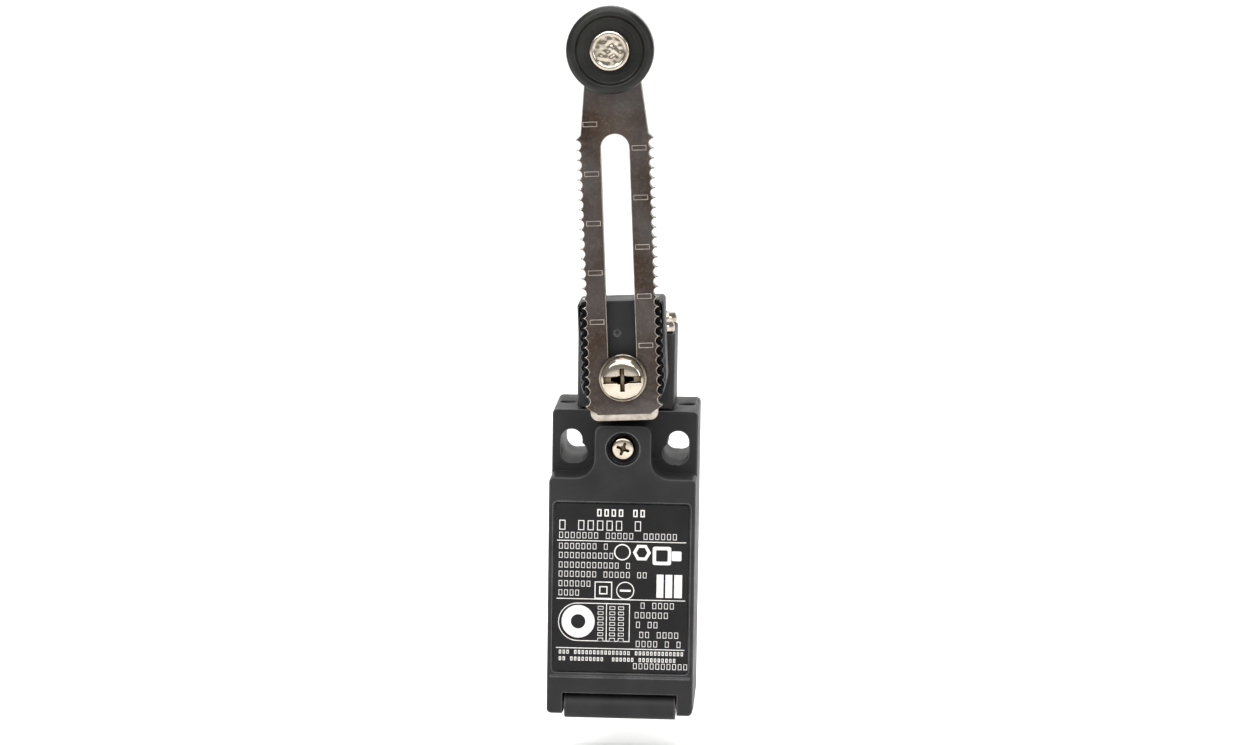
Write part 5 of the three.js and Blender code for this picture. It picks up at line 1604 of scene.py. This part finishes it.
    def build_roller(self) -> None:
        """Make the roller, its riveted pin and the washer behind it."""
        box, pin, washer = Box.of("roller"), Box.of("roller_pin"), Box.of("roller_washer")
        centre = Matrix.Translation((self.eye.x, 0, self.eye.z))
        radius, back, front = box.size.x / 2, box.high.y, box.low.y
        bevel, step, rim = self.bevel, front + self.bevel, radius - self.rim_width
        profile = [
            (2.5, back), (radius - bevel, back), (radius, back - bevel), (radius, step),
            (radius - bevel, front), (rim, front), (rim - 0.45, step), (5.2, step), (5.05, step + 0.12),
            (2.5, step + 0.12),
        ]
        wheel = turned(filleted(profile, 0.28, 4, True), 112, True)
        Fitted(Body.ROLLER, ROLLER_NYLON, ["roller"]).fit("roller_wheel", moved(wheel, centre), 24)
        self.build_pin(pin, centre)
        ring = flat_ring(self.eye_hole, washer, 0.1, 2, 64)
        Fitted(Body.LEVER, GROUND_STEEL, ["roller_washer"]).fit("thrust_washer", moved(ring, centre))

    def build_pin(self, pin: Box, centre: Matrix) -> None:
        """Make the roller's pin: a bright rim round a hammered face, and a rivet head at the back."""
        front, back, head, neck = pin.low.y, pin.high.y, pin.size.x / 2, self.pin_neck
        under = front + self.pin_head
        face = [(head * 0.74 * k / 14, front + 0.22) for k in range(15)]
        rim = [
            (head * 0.80, front), (head * 0.93, front), (head, front + 0.3), (head, under), (neck, under),
            (neck, back - 0.5), (3.2, back - 0.5), (3.1, back - 0.12), (neck, back), (0.0, back),
        ]
        solid = turned([*face, *filleted([face[-1], *rim], 0.12, 2)[1:]], 72)
        hammered = head * 0.72
        for vert in solid.verts:
            reach = math.hypot(vert.co.x, vert.co.z)
            if vert.co.y < front + 0.3 and reach < hammered:
                dent = self.hammer_depth * noise.noise(vert.co * self.hammer_pitch)
                vert.co.y += dent * (1 - (reach / hammered) ** 4)
        Fitted(Body.LEVER, NICKEL, ["roller_pin"]).fit("riveted_pin", moved(solid, centre), 40)

    def build_inner(self) -> None:
        """Make the shaft, the cam and its pin, which the head hides."""
        rows = (("shaft", "main_shaft", 0.3), ("cam", "shaft_cam", 0.2), ("cam_pin", "cam_dowel", 0.12))
        for node, name, edge in rows:
            Fitted(Body.SHAFT, GROUND_STEEL, [node]).copy(name, edge, 2, 50)


# ---------------------------------------------------------------- built-in switch
@dataclass
class ContactBlock:
    """The built-in switch: its case and lid, the carrier with its bridges, and four terminals."""

    screw_head: float = 3.0
    screw_height: float = 2.1
    screw_shank: float = 1.5
    spring_wire: float = 0.2
    travel: float = 2.5

    def build(self) -> None:
        """Make every piece of the built-in switch."""
        for node, name in (("switch_case", "block_housing"), ("switch_lid", "block_lid")):
            Fitted(Body.CASE, GREY_PBT, [node]).copy(name, 0.14, 2, 60)
        Fitted(Body.CONTACTS, GREY_PBT, ["contact_carrier"]).copy("carrier_slide", 0.12, 2, 60)
        for node in ("closed_bridge", "open_bridge"):
            Fitted(Body.CONTACTS, BRASS, [node]).copy(f"{node}_strip", 0.16, 2, 60)
        self.build_springs()
        self.build_terminals()

    def build_springs(self) -> None:
        """Make the two contact springs and the carrier's spring."""
        tree = CoilTree()
        for node, body, turns in (
            ("closed_bridge_spring", Body.CONTACTS, 3.0), ("open_bridge_spring", Body.CONTACTS, 3.0),
            ("carrier_spring", Body.CASE, 6.0),
        ):
            box = Box.of(node)
            made = tree.wind(f"{node}_coil", box, self.spring_wire, turns)
            Fitted(body, SPRING_WIRE, [node]).take(made)
            if node == "carrier_spring":
                shortened(made)

    def build_terminals(self) -> None:
        """Make the terminals, their saddles and their screws."""
        for i in range(1, 5):
            Fitted(Body.CASE, BRASS, [f"terminal_{i}"]).copy(f"terminal_blade_{i}", 0.12, 2, 60)
            Fitted(Body.CASE, NICKEL, [f"terminal_saddle_{i}"]).copy(f"wire_saddle_{i}", 0.2, 2, 60)
        nodes = [f"terminal_screw_{i}" for i in range(1, 5)]
        boxes = [Box.of(node) for node in nodes]
        low, high = boxes[2].centre, boxes[1].centre
        screw = PanScrew(0.0, boxes[0].size.y, self.screw_head, self.screw_height, self.screw_shank)
        made = StationTree().lay("terminal_screws", screw, {
            "Centre": (0.0, boxes[0].low.y * MM, (low.z + high.z) / 2 * MM),
            "Across": ((high.x - low.x) * MM, 0.0, 0.0), "Along": (0.0, 0.0, (high.z - low.z) * MM),
            "Rotation": (0.0, 0.0, 0.0),
        })
        Fitted(Body.CASE, NICKEL, nodes).take(made)


# ---------------------------------------------------------------- studio
@dataclass
class Studio:
    """The pale floor, the soft lights and the camera.

    Attributes:
        camera_at: The camera's place, in millimetres from the mounting face's middle.
        yaw, pitch, roll: Its turn to the left, downwards and about its own axis, in degrees.
        lens: Focal length on a 36 mm sensor.
    """

    camera_at: tuple[float, float, float] = (36.0, -814.7, 128.8)
    yaw: float = 2.61
    pitch: float = 8.12
    roll: float = 0.79
    lens: float = 112.5
    floor_reach: float = 3000.0
    floor_gap: float = 11.5  # the switch hangs by its back, which leaves room for the opened cover
    world: str = "#ffffff"
    world_strength: float = 0.3
    sun_strength: float = 2.9

    def build(self) -> None:
        """Make the floor, the lights and the camera."""
        self.build_floor()
        self.build_lights()
        self.build_camera()

    def build_floor(self) -> None:
        """Make a floor that curves up behind the object, so that no horizon shows."""
        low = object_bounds()[0].z / MM - self.floor_gap
        reach = self.floor_reach
        bend = 600.0
        profile = [(-reach, low), *arc((reach - bend, low + bend), bend, 270, 360, 16), (reach, low + reach)]
        solid = bmesh.new()
        rows = [[solid.verts.new((side * reach, y, z)) for side in (-1, 1)] for y, z in profile]
        for one, two in zip(rows, rows[1:]):
            solid.faces.new((one[0], one[1], two[1], two[0]))
        floor = as_object("floor", solid)
        floor.data.materials.append(FLOOR_PAINT.material())
        floor.data.shade_smooth()
        floor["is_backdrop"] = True

    def build_lights(self) -> None:
        """Hang three soft boxes and light the room evenly."""
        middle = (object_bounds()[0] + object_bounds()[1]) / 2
        for name, place, size, power in (
            ("key box", (-0.55, -0.75, 0.65), 0.4, 5.0),
            ("fill box", (0.75, -0.5, 0.25), 0.35, 2.5),
            ("top box", (0.0, 0.25, 0.9), 0.9, 9.0),
        ):
            light = bpy.data.lights.new(name, "AREA")
            light.shape, light.size, light.energy = "SQUARE", size, power
            holder = bpy.data.objects.new(name, light)
            holder.location = middle + Vector(place)
            holder.rotation_euler = (middle - holder.location).to_track_quat("-Z", "Y").to_euler()
            bpy.context.scene.collection.objects.link(holder)
        sun = bpy.data.lights.new("broad sun", "SUN")
        sun.energy, sun.angle = self.sun_strength, math.radians(70)
        holder = bpy.data.objects.new("broad sun", sun)
        holder.rotation_euler = (math.radians(40), 0, 0)
        bpy.context.scene.collection.objects.link(holder)
        world = bpy.data.worlds.new("even room")
        world.use_nodes = True
        ground = world.node_tree.nodes["Background"]
        ground.inputs["Color"].default_value = linear(self.world)
        ground.inputs["Strength"].default_value = self.world_strength
        bpy.context.scene.world = world
        bpy.context.scene.view_settings.view_transform = "Standard"

    def build_camera(self) -> None:
        """Stand the camera where its place and turns say."""
        yaw, pitch, roll = (math.radians(a) for a in (self.yaw, self.pitch, self.roll))
        ahead = Vector((-math.sin(yaw) * math.cos(pitch), math.cos(yaw) * math.cos(pitch), -math.sin(pitch)))
        right = Vector((math.cos(yaw), math.sin(yaw), 0))
        up = right.cross(ahead)
        side = right * math.cos(roll) + up * math.sin(roll)
        top = up * math.cos(roll) - right * math.sin(roll)
        turn = Matrix((side, top, -ahead)).transposed().to_4x4()
        camera = bpy.data.cameras.new("camera")
        camera.sensor_width, camera.lens = 36.0, self.lens
        camera.clip_start, camera.clip_end = 0.01, 20.0
        stand = bpy.data.objects.new("camera", camera)
        stand.matrix_world = Matrix.Translation(Vector(self.camera_at) * MM) @ turn
        bpy.context.scene.collection.objects.link(stand)
        bpy.context.scene.camera = stand


def main() -> None:
    """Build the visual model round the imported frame."""
    logging.basicConfig(level=logging.INFO, format="%(name)s: %(message)s")
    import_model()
    for part in (Enclosure(), NamePlate(), Head(), LeverArm(), ContactBlock(), Studio()):
        part.build()
        LOG.info("%s is built", type(part).__name__)


if __name__ == "__main__":
    main()
